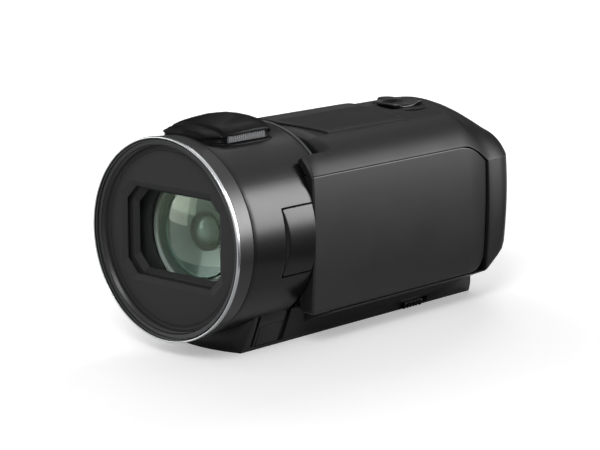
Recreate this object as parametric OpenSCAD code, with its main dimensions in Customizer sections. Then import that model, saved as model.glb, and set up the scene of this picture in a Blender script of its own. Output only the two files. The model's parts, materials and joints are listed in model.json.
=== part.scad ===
// Compact camcorder with a round lens barrel, a side screen and a grip strap.
// Row frame: origin at the mouth of the tripod socket, +Y towards the battery, +Z up,
// +X towards the screen. The modules work in the lens frame, whose origin is the middle
// of the front ring: x towards the screen, y back from the front ring, z up.

/* [Placement] */
// Height of the foot under the barrel
foot_h = 5.5; // [5:0.1:7.5]
// Distance of the tripod socket behind the front ring
socket_depth = 70; // [64:1:78]

/* [Front ring] */
// Rise of the front ring over the barrel
ring_lip = 0.5; // [0.4:0.1:1.5]
// Depth of the front ring
ring_depth = 8; // [7.8:0.1:9]
// Step from the barrel's bore in to the filter thread
thread_lip = 0.6; // [0.5:0.1:1.4]
// Depth of the filter thread's inner end
thread_end = 3.4; // [3:0.1:3.6]

/* [Window and barrier] */
// Half width of the window in the baffle
window_half = 21.7; // [18:0.1:22]
// Height of the window above the lens axis
window_up = 15.2; // [13:0.1:15.6]
// Depth of the window below the lens axis
window_down = 14.4; // [13:0.1:15]
// Size of the window's cut corners
window_corner = 4.6; // [3:0.1:6]
// Thickness of a barrier blade
blade_t = 0.5; // [0.3:0.05:0.6]

/* [Barrel] */
// Outer radius of the lens barrel
barrel_r = 33.5; // [33.3:0.1:33.8]
// Wall of the lens barrel
barrel_wall = 1.9; // [1.2:0.1:2.1]
// Depth of the body's front wall, where the barrel ends
body_front = 48; // [46:0.5:50]

/* [Lens unit] */
// Radius of the front lens
front_lens_r = 21; // [18:0.1:22]
// Clearance between the lens tube and the screen's recess wall
tube_gap = 0.9; // [0.6:0.1:1.4]
// Wall of the lens tube
tube_wall = 1.5; // [1:0.1:1.7]
// Depth of the lens tube's rear end
tube_end = 82; // [80:0.5:90]
// Radius of the zoom lens
zoom_lens_r = 9; // [7:0.1:9.4]
// Radius of the focus lens
focus_lens_r = 8; // [6:0.1:8.2]
// Radius of a guide rod
guide_r = 0.8; // [0.6:0.05:0.9]
// Radius of the lead screw
screw_r = 1; // [0.8:0.05:1.1]

/* [Body section] */
// Distance of the screen side's edge inside the barrel's side
side_in = 2.5; // [1.6:0.1:3.4]
// Bulge of the side face
side_bulge = 0.9; // [0:0.1:1.5]
// Distance of the grip side inside the barrel's side
grip_in = 1; // [0:0.1:1.8]
// Distance of the body's top below the barrel's top
top_in = 0.7; // [0.1:0.1:1.3]
// Distance of the body's floor above the barrel's lowest line
low_in = 0.5; // [0.1:0.1:0.9]
// Height of the bevel's lower edge
bevel_z = 19.7; // [18:0.1:21]
// Height that the bevel's lower edge loses at the rear
bevel_drop = 6.9; // [3:0.1:8]
// Width of the bevel, from the side's edge to the top crease
bevel_w = 11; // [9:0.1:12]
// Distance of the top crease below the body's top
crease_in = 2.7; // [2.2:0.1:3.8]
// Wall of the body shells
wall = 1.8; // [1.4:0.1:2]

/* [Body length] */
// Depth at which the bevel's edge starts to drop
bevel_turn = 117.5; // [112:0.5:120]
// Depth of the rear block's front face
rear_block = 131; // [129:0.5:133]
// Depth of the body's rear face
body_rear = 147; // [145.5:0.5:150]

/* [Foot] */
// Half width of the foot at the base
foot_half = 16; // [15:0.1:17]
// Outward lean of the foot's flanks, in mm for each mm of height
foot_lean = 0.375; // [0.3:0.005:0.4]
// Depth of the foot's front edge
foot_front = 16.3; // [14:0.1:20]
// Depth of the foot's rear edge
foot_rear = 140; // [136:0.5:142]

/* [Screen] */
// Depth of the screen's recess in the body's side
recess_deep = 10.8; // [10.6:0.1:11.4]
// Gap between the recess wall and the screen's inner face
recess_gap = 0.8; // [0.6:0.05:1]
// Depth of the screen's front edge
panel_front = 38; // [37.8:0.1:40]
// Depth of the screen's rear edge
panel_rear = 130.2; // [124:0.1:130.4]
// Distance of the screen's lower edge above the body's floor
panel_up = 6; // [5.6:0.1:8]
// Thickness of the screen's outer shell at its edges
shell_w = 5; // [4:0.1:6]
// Wall of the screen's outer shell
panel_wall = 1.6; // [1:0.1:2]

/* [Screen hinge] */
// Distance of the hinge axis inside the barrel's side
hinge_in = 3.9; // [3.5:0.1:4.3]
// Depth of the hinge axis
hinge_y = 27.2; // [26.8:0.1:28]
// Half height of the knuckle
knuckle_half = 11.2; // [9:0.1:12]
// Radius of the hinge pin
hinge_pin_r = 1; // [0.8:0.05:1.2]
// Radius of the swivel shaft
swivel_r = 2.6; // [2:0.1:2.8]

/* [Microphone hump] */
// Height of the hump over the barrel
hump_rise = 5; // [4.1:0.1:6.5]
// Depth of the hump's front
hump_front = 9.5; // [8.5:0.1:11]
// Depth of the hump's rear
hump_rear = 47.8; // [44:0.1:47.9]
// Half width of the hump at the barrel
hump_half = 14.3; // [13:0.1:15]

/* [Controls] */
// Distance of the zoom lever's pivot from the middle
zoom_x = 4; // [2:0.1:6]
// Depth of the zoom lever's pivot
zoom_y = 113.5; // [110:0.5:116]
// Radius of the zoom lever's recess
zoom_well_r = 9.6; // [9:0.1:10]
// Radius of the photo button
photo_r = 3.6; // [2.6:0.1:4]
// Radius of the start and stop button
record_r = 4.2; // [3:0.1:4.6]
// Radius of a button behind the screen
key_r = 2.6; // [1.5:0.1:3]
// Height of the start and stop button above the rear face
record_rise = 0.9; // [0.5:0.1:1.4]

/* [Battery] */
// Width of the battery
battery_w = 28.8; // [24:0.1:30]
// Height of the battery
battery_h = 28; // [24:0.1:28.4]
// Depth of the battery's rear face
battery_end = 158; // [155:0.5:165]
// Height of the battery's top above the lens axis
battery_top = 9.5; // [7:0.1:12]

/* [Doors] */
// Width of the jack door
jack_w = 11; // [9.5:0.1:12]
// Height of the jack door along the foot's flank
jack_h = 7.6; // [6:0.1:8]
// Thickness of the doors
door_t = 1.6; // [1.2:0.05:1.8]
// Length of the card door
card_door_l = 12; // [10:0.1:14]

/* [Strap] */
// Depth of the front strap bar
strap_front = 56; // [54:0.5:60]
// Depth of the rear strap bar
strap_rear = 134; // [128:0.5:136]
// Bulge of the strap away from its bars
strap_bulge = 14; // [10:0.5:18]
// Height of the strap webbing
strap_h = 24; // [16:0.5:26]
// Thickness of the strap pad
pad_t = 5; // [3:0.1:7]

/* [Mounts] */
// Radius of the tripod thread
tripod_r = 3.175; // [3:0.005:3.3]
// Depth of the tripod thread
tripod_len = 6; // [4.5:0.1:6.5]

/* [Hidden] */
$fn = 96;

// Clearance of a shaft in its bore
run_fit = 0.08;
// Clearance of moving pieces that don't guide each other
free_fit = 0.3;
// Length that a cutter sticks out past what it cuts
over = 1;
// Farther than any edge of the object
far = 200;

// The body and the lens follow the barrel
lens_height = barrel_r + foot_h;
barrel_in = barrel_r - barrel_wall;
ring_r = barrel_r + ring_lip;
thread_r = barrel_in - thread_lip;
side_x = barrel_r - side_in;
grip_x = barrel_r - grip_in;
body_top = barrel_r - top_in;
body_low = barrel_r - low_in;
crease_x = side_x - bevel_w;
crease_z = body_top - crease_in;
recess_x = side_x - recess_deep;
case_x = recess_x - wall;
panel_x = recess_x + recess_gap;
panel_split = side_x - shell_w;
panel_low = body_low - panel_up;
hinge_x = barrel_r - hinge_in;
hump_top = barrel_r + hump_rise;
tube_r = case_x - tube_gap;

front_wall = 2;
section_steps = 5;
round_start = 122.5;
top_drop = 9.5;
crease_drop = 9.5;
floor_rise = 11;
rear_lip = 0.2;
front_chamfer = 1.3;
front_chamfer_l = 2.5;
base_seam = body_low - 2.5;
foot_join = foot_half + foot_lean * (lens_height - body_low);
side_seam = body_rear - 4;
panel_top_gap = 0.55;

// ---------------------------------------------------------------- helpers

// Moves a shape from the lens frame into the row frame
module place() {
    translate([0, -socket_depth, lens_height]) children();
}

// A block given by its lowest and highest corners
module block(low, high) {
    translate(low) cube(high - low);
}

// Turns a profile of [radius, depth] points about the lens axis
module turned(points) {
    rotate([-90, 0, 0]) rotate_extrude() polygon(points);
}

// A rod along the depth
module rod_y(r, d0, d1, x = 0, z = 0) {
    translate([x, d0, z]) rotate([-90, 0, 0]) cylinder(r = r, h = d1 - d0);
}

// A rod along the width
module rod_x(r, x0, x1, d = 0, z = 0) {
    translate([x0, d, z]) rotate([0, 90, 0]) cylinder(r = r, h = x1 - x0);
}

// Extrudes an x, z outline over a stretch of depth
module slab_y(d0, d1) {
    translate([0, d1, 0]) rotate([90, 0, 0]) linear_extrude(d1 - d0) children();
}

// Extrudes a depth, z outline over a stretch of width
module slab_x(x0, x1) {
    translate([x0, 0, 0]) rotate([90, 0, 90]) linear_extrude(x1 - x0) children();
}

// Points of an arc, from angle a0 over sweep degrees
function arc(cx, cy, r, a0, sweep, n = 6) =
    [for (k = [0 : n]) [cx + r * cos(a0 + sweep * k / n), cy + r * sin(a0 + sweep * k / n)]];

// Outline of a rectangle with round corners
function round_rect(x0, y0, x1, y1, r) = concat(
    arc(x1 - r, y1 - r, r, 0, 90), arc(x0 + r, y1 - r, r, 90, 90),
    arc(x0 + r, y0 + r, r, 180, 90), arc(x1 - r, y0 + r, r, 270, 90));

// Points of a curve that leaves a towards b and reaches c, without a itself
function bend(a, b, c, n = section_steps) =
    [for (k = [1 : n]) let (t = k / n) (1 - t) * (1 - t) * a + 2 * t * (1 - t) * b + t * t * c];

// Points i0 to i1 of a closed outline, past its end if i1 is that far, and the same backwards
function stretch(p, i0, i1) = [for (k = [i0 : i1]) p[k % len(p)]];
function stretch_back(p, i0, i1) = [for (k = [i1 : -1 : i0]) p[k % len(p)]];

// Side faces between m rings of n points each
function ring_sides(n, m) = [for (j = [0 : m - 2], k = [0 : n - 1])
    each [[j * n + k, j * n + (k + 1) % n, (j + 1) * n + (k + 1) % n],
          [j * n + k, (j + 1) * n + (k + 1) % n, (j + 1) * n + k]]];

// Joins rings of the same number of points into one closed solid
module loft(rings) {
    n = len(rings[0]);
    m = len(rings);
    front_cap = [for (k = [n - 1 : -1 : 0]) k];
    rear_cap = [for (k = [0 : n - 1]) (m - 1) * n + k];
    polyhedron([for (r = rings) each r], concat(ring_sides(n, m), [front_cap, rear_cap]));
}

// The same for a wall, whose rings run out along one face and back along the other
module wall_loft(rings) {
    n = len(rings[0]);
    m = len(rings);
    a = (m - 1) * n;
    front_cap = [for (k = [0 : n / 2 - 2])
        each [[k, n - 1 - k, n - 2 - k], [k, n - 2 - k, k + 1]]];
    rear_cap = [for (k = [0 : n / 2 - 2])
        each [[a + k, a + k + 1, a + n - 2 - k], [a + k, a + n - 2 - k, a + n - 1 - k]]];
    polyhedron([for (r = rings) each r], concat(ring_sides(n, m), front_cap, rear_cap));
}

// ---------------------------------------------------------------- body section

// Share of the rear rounding reached at depth d
function rear_share(d) = max(0, (d - round_start) / (body_rear - round_start));

// Height of the bevel's lower edge at depth d
function bevel_at(d) =
    let (t = min(1, max(0, (d - bevel_turn) / (rear_block - bevel_turn))))
    bevel_z - bevel_drop * pow(t, 1.6);

// Share of the width that is left at depth d
function width_share(d) = 1 - 0.14 * pow(max(0, (d - body_rear + 8) / 8), 1.5);

// Inset of the chamfer round the body's front edge
function chamfer_at(d) =
    front_chamfer * max(0, 1 - (d - body_front) / front_chamfer_l);

// Places of the section's landmarks in its list of points
i_edge = 1 + section_steps;
i_crease = i_edge + section_steps;
i_top = i_crease + section_steps;
i_grip = i_top + 2 * section_steps;
i_foot = i_grip + 2 * section_steps;
i_seam = i_top + section_steps + 1;
i_base = i_foot - 1;

// Height of the body's floor at depth d
function floor_at(d) =
    floor_rise * max(0, (d - rear_block) / (body_rear - rear_block)) - body_low;

// Outline of the body at depth d, drawn in by inset
function body_section(d, inset) =
    let (u = rear_share(d),
         low = floor_at(d),
         edge = bevel_at(d),
         crease = [crease_x, crease_z - crease_drop * pow(u, 0.75)],
         top = body_top - top_drop * pow(u, 3.5),
         corner = [side_x, low + foot_lean * (side_x - foot_join) + 0.8],
         p = concat(
            [[foot_join, low], corner],
            [for (k = [1 : section_steps]) let (t = k / section_steps)
                [side_x + side_bulge * (1 - pow(2 * t - 1, 2)), corner[1] + t * (edge - corner[1])]],
            bend([side_x, edge], [side_x - 3.5, 0.35 * edge + 0.68 * crease[1]], crease),
            bend(crease, [crease_x - 12, top + 0.4], [-5, top]),
            bend([-5, top], [5.5 - grip_x, top - 1.5], [-grip_x, -2], 2 * section_steps),
            bend([-grip_x, -2], [-grip_x, low + 8], [-foot_join, low], 2 * section_steps)))
    [for (k = [0 : len(p) - 1]) let (i = inset + (k > i_crease ? chamfer_at(d) : 0))
        [p[k][0] * width_share(d) * (1 - i / side_x), p[k][1] * (1 - i / body_low)]];

// Depths of the sections: the front, the bevel's drop and the rear rounding
front_depths = [body_front, body_front + front_chamfer_l];
bevel_depths = [for (k = [0 : 4]) bevel_turn + k * (rear_block - bevel_turn) / 4];
rear_depths = [rear_block + 5, body_rear - 7.5, body_rear - 4.5, body_rear - 2, body_rear];

// Wall of the body between two landmarks, over the given depths
module shell(depths, i0, i1) {
    wall_loft([for (d = depths)
        [for (p = concat(stretch(body_section(d, 0), i0, i1),
            stretch_back(body_section(d, wall), i0, i1))) [p[0], d, p[1]]]]);
}

// Plate across the body between two landmarks, let into its wall by inset
module cross_plate(d0, d1, i0, i1, at, inset) {
    slab_y(d0, d1) polygon(stretch(body_section(at, inset), i0, i1));
}

// ---------------------------------------------------------------- front of the barrel

trim_w = 0.9;
trim_d = 1.2;
seat_r = barrel_in;
baffle_t = 0.9;
baffle_bulge = 0.5;
baffle_front = thread_end + 0.3;
baffle_r = seat_r - 0.2;
upper_layer = baffle_front + baffle_t + 0.3;
follower_layer = upper_layer + blade_t + 0.55;
frame_front = ring_depth - 1;
blade_r = seat_r - 0.4;
blade_half = window_half + 1.8;
blade_rest = 0.5;

module trim_ring() place() color("#c9cbcc") {
    turned([[ring_r - trim_w, 0.2], [ring_r - 0.6, 0], [ring_r - 0.3, 0], [ring_r, 0.5],
        [ring_r, trim_d], [ring_r - trim_w, trim_d]]);
}

module filter_ring() place() color("#161617") {
    turned([[thread_r, 0.3], [ring_r - trim_w, 0.3], [ring_r - trim_w, trim_d],
        [ring_r, trim_d], [ring_r, ring_depth - 0.5], [barrel_r, ring_depth],
        [seat_r, ring_depth], [seat_r, thread_end], [thread_r, thread_end]]);
}

// Outline of the window, grown by g
module window(g = 0) {
    w = window_half + g;
    up = window_up + g;
    down = window_down + g;
    c = window_corner;
    polygon([[w, up - c], [w - c, up], [c - w, up], [-w, up - c],
        [-w, c - down], [c - w, -down], [w - c, -down], [w, c - down]]);
}

module baffle_plate() place() color("#2e2e30") {
    difference() {
        turned([[0, baffle_front - baffle_bulge], [baffle_r, baffle_front],
            [baffle_r, baffle_front + baffle_t], [0, baffle_front + baffle_t - baffle_bulge]]);
        slab_y(0, ring_depth) window();
    }
}

// Plate behind the blades, with a rail on each side that guides them
module barrier_frame() place() color("#1b1b1c") {
    rail_x = blade_half + 0.5;
    rail_w = 3.5;
    rail_half = 12;
    difference() {
        union() {
            rod_y(baffle_r, frame_front, ring_depth);
            for (side = [-1, 1]) {
                slab_y(baffle_front + baffle_t + 0.05, frame_front)
                    translate([side * (rail_x + rail_w / 2), 0])
                        square([rail_w, 2 * rail_half], center = true);
            }
        }
        slab_y(frame_front - over, ring_depth + over) window(-1.6);
    }
}

// One blade in its open place: side is 1 above the window and -1 below it
module blade(side, edge, layer) {
    slab_y(layer, layer + blade_t) intersection() {
        circle(r = blade_r);
        translate([0, side * (edge + blade_rest + far / 2)])
            square([2 * blade_half, far], center = true);
    }
}

module upper_blade() place() color("#3a3a3c") blade(1, window_up, upper_layer);
module upper_follower() place() color("#343436") blade(1, window_up, follower_layer);
module lower_blade() place() color("#3a3a3c") blade(-1, window_down, upper_layer);
module lower_follower() place() color("#343436") blade(-1, window_down, follower_layer);

// ---------------------------------------------------------------- barrel

knuckle_r = 4.2;
pocket_front = hinge_y - knuckle_r - 0.4;
pocket_half = knuckle_half + 0.4;
panel_cut_front = panel_front - 0.8;
panel_cut_low = panel_low + 0.4;

module barrel_shell() place() color("#1a1a1b") {
    difference() {
        turned([[barrel_in, ring_depth], [barrel_r, ring_depth],
            [barrel_r, body_front], [barrel_in, body_front]]);
        block([recess_x, panel_cut_front, -panel_cut_low], [far, body_front + over, bevel_z]);
        block([recess_x, pocket_front, -pocket_half], [far, panel_cut_front + over, pocket_half]);
    }
}

// ---------------------------------------------------------------- lens unit

lens_front = ring_depth + 1.6;
lens_curve = 45;
lens_edge = 3;
lens_sag = lens_curve - sqrt(pow(lens_curve, 2) - pow(front_lens_r, 2));
lens_back = lens_front + lens_sag + lens_edge;
retainer_r = front_lens_r + 5.1;
bowl_r = retainer_r + 1.9;
bowl_floor = lens_back + 0.7;
bowl_end = bowl_floor + 1.5;
tube_in = tube_r - tube_wall;
rod_at = tube_in - 2;
sleeve_r = guide_r + 0.8;
screw_at = tube_in - 3.2;
motor_r = 2.9;
motor_front = tube_end - 20;
end_plate = 2;

module front_lens() place() color("#7fa08c") {
    turned(concat([[0, lens_back], [0, lens_front]],
        [for (k = [1 : 12]) let (r = front_lens_r * k / 12)
            [r, lens_front + lens_curve - sqrt(pow(lens_curve, 2) - r * r)]],
        [[front_lens_r, lens_back]]));
}

module lens_retainer() place() color("#202022") {
    lip = lens_front + lens_sag;
    turned([[front_lens_r - 0.9, lip - 1.6], [retainer_r - 0.2, lip - 1.6],
        [retainer_r - 0.2, bowl_floor], [front_lens_r + 0.1, bowl_floor],
        [front_lens_r + 0.1, lip - 0.6], [front_lens_r - 0.9, lip - 0.6]]);
}

module lens_tube() place() color("#3c3d40") {
    difference() {
        turned([[retainer_r, ring_depth + 0.1], [baffle_r, ring_depth + 0.1],
            [baffle_r, ring_depth + 1.6], [bowl_r, ring_depth + 1.6], [bowl_r, bowl_end],
            [tube_r, bowl_end], [tube_r, tube_end], [7, tube_end], [7, tube_end - end_plate],
            [tube_in, tube_end - end_plate], [tube_in, bowl_floor], [retainer_r, bowl_floor]]);
    }
}

// A ring that holds a lens, with two sleeves on the guide rods
module carriage(lens_r, rim, d0, depth, sleeve_l) {
    difference() {
        union() {
            rod_y(lens_r + rim, d0, d0 + depth);
            for (side = [-1, 1]) {
                rod_y(sleeve_r, d0, d0 + sleeve_l, 0, side * rod_at);
                block([-1, d0, min(side * (lens_r + 0.5), side * (rod_at - 1))],
                    [1, d0 + depth, max(side * (lens_r + 0.5), side * (rod_at - 1))]);
            }
            children();
        }
        rod_y(lens_r, d0 - over, d0 + depth + over);
        for (side = [-1, 1]) {
            rod_y(guide_r + run_fit, d0 - over, d0 + sleeve_l + over, 0, side * rod_at);
        }
    }
}

zoom_front = bowl_end + 6;
zoom_depth = 6;
focus_front = tube_end - 16;
focus_depth = 4;

module zoom_carriage() place() color("#4a4b4f") {
    difference() {
        carriage(zoom_lens_r, 1.6, zoom_front, zoom_depth, 10) {
            rod_y(screw_r + 1, zoom_front, zoom_front + zoom_depth, -screw_at);
            block([-screw_at, zoom_front, -1], [-zoom_lens_r - 0.5, zoom_front + 4, 1]);
        }
        rod_y(screw_r + run_fit, zoom_front - over, zoom_front + zoom_depth + over, -screw_at);
    }
}

// A lens with two curved faces
module round_lens(r, d0, depth, curve) {
    sag = curve - sqrt(curve * curve - r * r);
    steps = 8;
    turned(concat(
        [for (k = [0 : steps]) let (q = r * k / steps)
            [q, d0 + curve - sqrt(curve * curve - q * q)]],
        [for (k = [steps : -1 : 0]) let (q = r * k / steps)
            [q, d0 + depth - curve + sqrt(curve * curve - q * q)]]));
}

module zoom_lens() place() color("#8fb0a0") {
    round_lens(zoom_lens_r, zoom_front, zoom_depth, 24);
}

module focus_carriage() place() color("#4a4b4f") {
    carriage(focus_lens_r, 1.4, focus_front, focus_depth, 5);
}

module focus_lens() place() color("#8fb0a0") {
    round_lens(focus_lens_r, focus_front, focus_depth, 30);
}

module guide_rods() place() color("#b8babd") {
    for (side = [-1, 1]) {
        rod_y(guide_r, bowl_end - 0.8, tube_end - end_plate, 0, side * rod_at);
    }
}

module lead_screw() place() color("#c4b27a") {
    rod_y(screw_r, bowl_end + 0.2, motor_front - 0.2, -screw_at);
}

module zoom_motor() place() color("#8d8f92") {
    rod_y(motor_r, motor_front, motor_front + 12, -screw_at);
}

sensor_half = 12;

module sensor_block() place() color("#2f6b46") {
    block([-6, tube_end, -5], [6, tube_end + 1.2, 5]);
    block([-sensor_half, tube_end + 1.2, -sensor_half], [sensor_half, tube_end + 2.4, sensor_half]);
}

// ---------------------------------------------------------------- inner boards

board_x = 10.5 - grip_x;
board_t = 1.2;
board_gap = 1.8;
sheet_t = 1;
board_front = body_front + 8;
board_rear = rear_block + 3;
board_half = body_top - 14.8;
sheet_rear = rear_block - 0.4;
sheet_top = board_half - 4;
floor_z = -(body_low - wall) + 0.3;
card_y = socket_depth + 20;
card_slot_w = 27;
card_slot_t = 5;

module main_board() place() color("#245c3a") {
    block([board_x, board_front, -board_half], [board_x + board_t, board_rear, board_half]);
    block([board_x + board_t, board_front + 30, -10], [board_x + board_t + 1.2, board_front + 44, 4]);
}

// Bent sheet that carries the board, with four studs
module chassis_plate() place() color("#9a9ca0") {
    back_x = board_x - board_gap - sheet_t;
    floor_x = foot_half - 1;
    difference() {
        union() {
            slab_y(board_front, sheet_rear) polygon([[back_x, sheet_top],
                [back_x, -board_half - 2], [-floor_x - sheet_t, floor_z], [floor_x, floor_z],
                [floor_x, floor_z + sheet_t], [-floor_x, floor_z + sheet_t],
                [back_x + sheet_t, -board_half - 2 + sheet_t / 2], [back_x + sheet_t, sheet_top]]);
            for (d = [board_front + 6, sheet_rear - 6], z = [5 - board_half, board_half - 5]) {
                rod_x(1.5, back_x + sheet_t / 2, board_x, d, z);
            }
        }
        block([-card_slot_w / 2 - 0.4, card_y - card_slot_t / 2 - 0.4, -far],
            [card_slot_w / 2 + 0.4, card_y + card_slot_t / 2 + 0.4, 0]);
        translate([0, socket_depth, -lens_height]) cylinder(r = socket_r + 0.4, h = lens_height);
    }
}

// ---------------------------------------------------------------- cases

battery_x = 0.5;
channel_x0 = battery_x - battery_w / 2 - 0.3;
channel_x1 = battery_x + battery_w / 2 + 0.3;
channel_floor = side_seam - 3;
channel_wall = 1.4;
channel_low = battery_top - battery_h - 0.3;
photo_x = -9.5;
photo_y = zoom_y + 9;
record_x = -20.8;
record_z = -1;
supply_x = 21;
supply_z = -7;
supply_r = 3;
power_y = rear_block - 11;
play_y = rear_block - 21;
key_z = 8;
zoom_floor = body_top - 1.1;
bar_half = strap_h / 2 + 1.5;
bar_r = 1.2;
speaker_y = 98;
speaker_z = 4;
speaker_r = 6.5;
port_z = -(tube_r + 4.2);

// Room of the battery channel, open to the rear and the top
module battery_channel() {
    block([channel_x0, channel_floor, channel_low], [channel_x1, far, far]);
}

// Walls round the channel between two heights, stepped to stay under the rounded surface
module channel_walls(low, high) {
    steps = [for (k = [0 : 3]) channel_floor + k * (body_rear - 0.3 - channel_floor) / 3];
    for (k = [0 : 3]) {
        intersection() {
            cross_plate(channel_floor - channel_wall + 0.1 * k, steps[k], 0, i_foot, steps[k], 0.7);
            block([channel_x0 - channel_wall, 0, low], [channel_x1 + channel_wall, far, high]);
        }
    }
}

// Holes for the ends of the strap bars
module bar_holes() {
    for (d = [strap_front, strap_rear], side = [-1, 1]) {
        rod_x(bar_r + 0.1, -grip_x - over, -grip_x + 6, d, side * bar_half);
    }
}

module grip_case() place() color("#232325") {
    plate_d = body_front + front_wall;
    difference() {
        union() {
            shell(concat(front_depths, bevel_depths), i_seam, i_base);
            intersection() {
                cross_plate(body_front + 0.6, plate_d, i_seam, i_base, plate_d, 1.4);
                block([-far, 0, -base_seam], [case_x, far, body_section(plate_d, 0)[i_seam][1] - 0.1]);
            }
        }
        rod_y(tube_r + 0.3, 0, plate_d + over);
        bar_holes();
    }
}

// Wall of the screen's recess, with the speaker slots and the holes for buttons and sockets
module screen_case() place() color("#232325") {
    seam = [for (d = bevel_depths) [d, bevel_at(d) - 0.05]];
    barrel_z = 0.05 - sqrt(pow(barrel_in, 2) - pow(recess_x, 2));
    difference() {
        slab_x(case_x, recess_x) polygon(concat(
            [[panel_cut_front, barrel_z], [body_front, barrel_z], [body_front, -panel_cut_low],
             [rear_block, -panel_cut_low]],
            [for (k = [len(seam) - 1 : -1 : 0]) seam[k]], [[panel_cut_front, seam[0][1]]]));
        for (k = [-2 : 2]) {
            block([case_x - over, speaker_y + 2 * k - 0.5, speaker_z - 3.5],
                [recess_x + over, speaker_y + 2 * k + 0.5, speaker_z + 3.5]);
        }
        for (d = [power_y, play_y]) {
            rod_x(key_r + free_fit, case_x - over, recess_x + over, d, key_z);
        }
        port_holes(0.1);
    }
}

// Shoulder in front of the top cover, which reaches forward over the barrel
module shoulder_cover() place() color("#2b2b2d") {
    r = barrel_r + 0.7;
    slab_y(panel_front, body_front) intersection() {
        polygon(body_section(bevel_turn, 0));
        polygon([[far, bevel_z], [r * cos(36), bevel_z], [r * cos(36), r * sin(36)],
            [r * cos(48), r * sin(48)], [r * cos(48), far], [far, far]]);
    }
}

// Wall of the top, with a ledge that roofs the screen's recess
module top_shell() {
    wall_loft([for (d = concat(front_depths, bevel_depths, rear_depths))
        let (edge = bevel_at(d),
             inner = body_section(d, wall),
             ledge = [case_x, edge + wall])
        [for (p = concat([[case_x, edge]], stretch(body_section(d, 0), i_edge, i_seam),
            stretch_back(inner, i_edge + 1, i_seam),
            [(ledge + inner[i_edge + 1]) / 2, ledge])) [p[0], d, p[1]]]]);
}

module top_cover() place() color("#2b2b2d") {
    difference() {
        union() {
            top_shell();
            cross_plate(body_front + 0.6, body_front + front_wall, i_edge + 2, i_seam,
                body_front + front_wall, 1.4);
            cross_plate(body_rear - 1.8, body_rear - rear_lip, i_edge, i_seam, body_rear, 0.9);
            channel_walls(body_section(body_rear, 0)[i_seam][1] + 0.8, far);
        }
        rod_y(tube_r + 0.3, 0, body_front + front_wall + over);
        battery_channel();
        translate([zoom_x, zoom_y, zoom_floor]) cylinder(r = zoom_well_r, h = far);
        translate([zoom_x, zoom_y, 0]) cylinder(r = 1.5 + run_fit, h = far);
        translate([photo_x, photo_y, 0]) cylinder(r = photo_r + free_fit, h = far);
    }
}

// Thin raised plate on the front of the top, with a swept front edge
module top_plate() place() color("#262628") {
    plate_t = 0.5;
    plate_front = body_front + front_chamfer_l;
    plate_rear = 98;
    i_end = i_top + 3;
    intersection() {
        slab_y(plate_front, plate_rear) polygon(concat(
            stretch(body_section(bevel_turn, -plate_t), i_crease, i_end),
            stretch_back(body_section(bevel_turn, -0.02), i_crease, i_end)));
        linear_extrude(far) polygon([[far, plate_front + 10], [far, far], [-far, far],
            [-far, 0], [4, 0], [4, plate_front], [crease_x, plate_front + 8]]);
    }
}

// ---------------------------------------------------------------- foot and base

flank_angle = atan(foot_lean);
jack_front = foot_front + 9;
jack_low = 1.4;
jack_hinge = door_t / 2;
lever_y = card_y + card_door_l / 2 + 5;
lever_l = 10;
lever_travel = 3.5;
socket_r = 6;
card_door_front = card_y - card_door_l / 2;
card_door_half = card_slot_w / 2 + 1;
base_gap = 0.4;
screw_spots = [for (d = [body_front + 6, socket_depth + 10, foot_rear - 7], side = [-1, 1])
    [side * 11.5, d]];
head_r = 2;
head_h = 1.2;

// Frame on the foot's flank: x outward, y along the depth, z up the flank
module on_flank() {
    translate([foot_half, 0, -lens_height]) rotate([0, flank_angle, 0]) children();
}

// Plan of the foot, with a bowed front edge and round rear corners
module foot_plan() {
    half = foot_half + foot_lean * lens_height;
    r = 3;
    polygon(concat([for (k = [-6 : 6]) let (x = half * k / 6) [x, foot_front + 0.012 * x * x]],
        arc(foot_join - r, foot_rear - r, r, 0, 90), arc(r - foot_join, foot_rear - r, r, 90, 90)));
}

module foot_solid() {
    neck_z = 0.78 * barrel_r;
    sunk_z = body_low - wall / 2;
    intersection() {
        translate([0, 0, -lens_height]) linear_extrude(lens_height) foot_plan();
        slab_x(-far, far) polygon(concat([[0, -lens_height], [far, -lens_height]],
            [for (d = [rear_depths[1], rear_depths[0], rear_block]) [d, floor_at(d) - 0.05]],
            [[rear_block, -sunk_z], [body_front, -sunk_z], [body_front, -neck_z], [0, -neck_z]]));
        slab_y(0, far) polygon([[-foot_half, -lens_height], [foot_half, -lens_height],
            [foot_half + foot_lean * lens_height, 0], [-foot_half - foot_lean * lens_height, 0]]);
    }
}

module base_cover() place() color("#28282a") {
    outer = body_section(bevel_turn, 0);
    inner = body_section(bevel_turn, wall);
    lean = (outer[1][1] - outer[0][1]) / (outer[1][0] - outer[0][0]);
    tip_x = outer[0][0] + (-panel_cut_low - outer[0][1]) / lean - 0.3;
    difference() {
        union() {
            slab_y(body_front, rear_block) polygon([outer[i_base], outer[i_foot], outer[0],
                [tip_x, outer[0][1] + lean * (tip_x - outer[0][0])], [tip_x, -panel_cut_low],
                [case_x, -panel_cut_low], inner[0], inner[i_foot], inner[i_base]]);
            foot_solid();
        }
        rod_y(barrel_r + 0.03, 0, body_front);
        for (y = [body_front + 1, foot_rear - 28]) {
            block([-9, y, 2.2 - lens_height], [9, y + 12, -body_low + wall + over]);
        }
        translate([0, socket_depth, -lens_height - over])
            cylinder(r = socket_r, h = lens_height - body_low + over + 3);
        card_room();
        for (spot = screw_spots) {
            translate([spot[0], spot[1], -lens_height - over]) {
                cylinder(r = head_r + 0.1, h = over + base_gap + head_h);
                cylinder(r = 1, h = far / 10);
            }
        }
        on_flank() {
            jack_room();
            lever_room();
        }
    }
}

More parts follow.
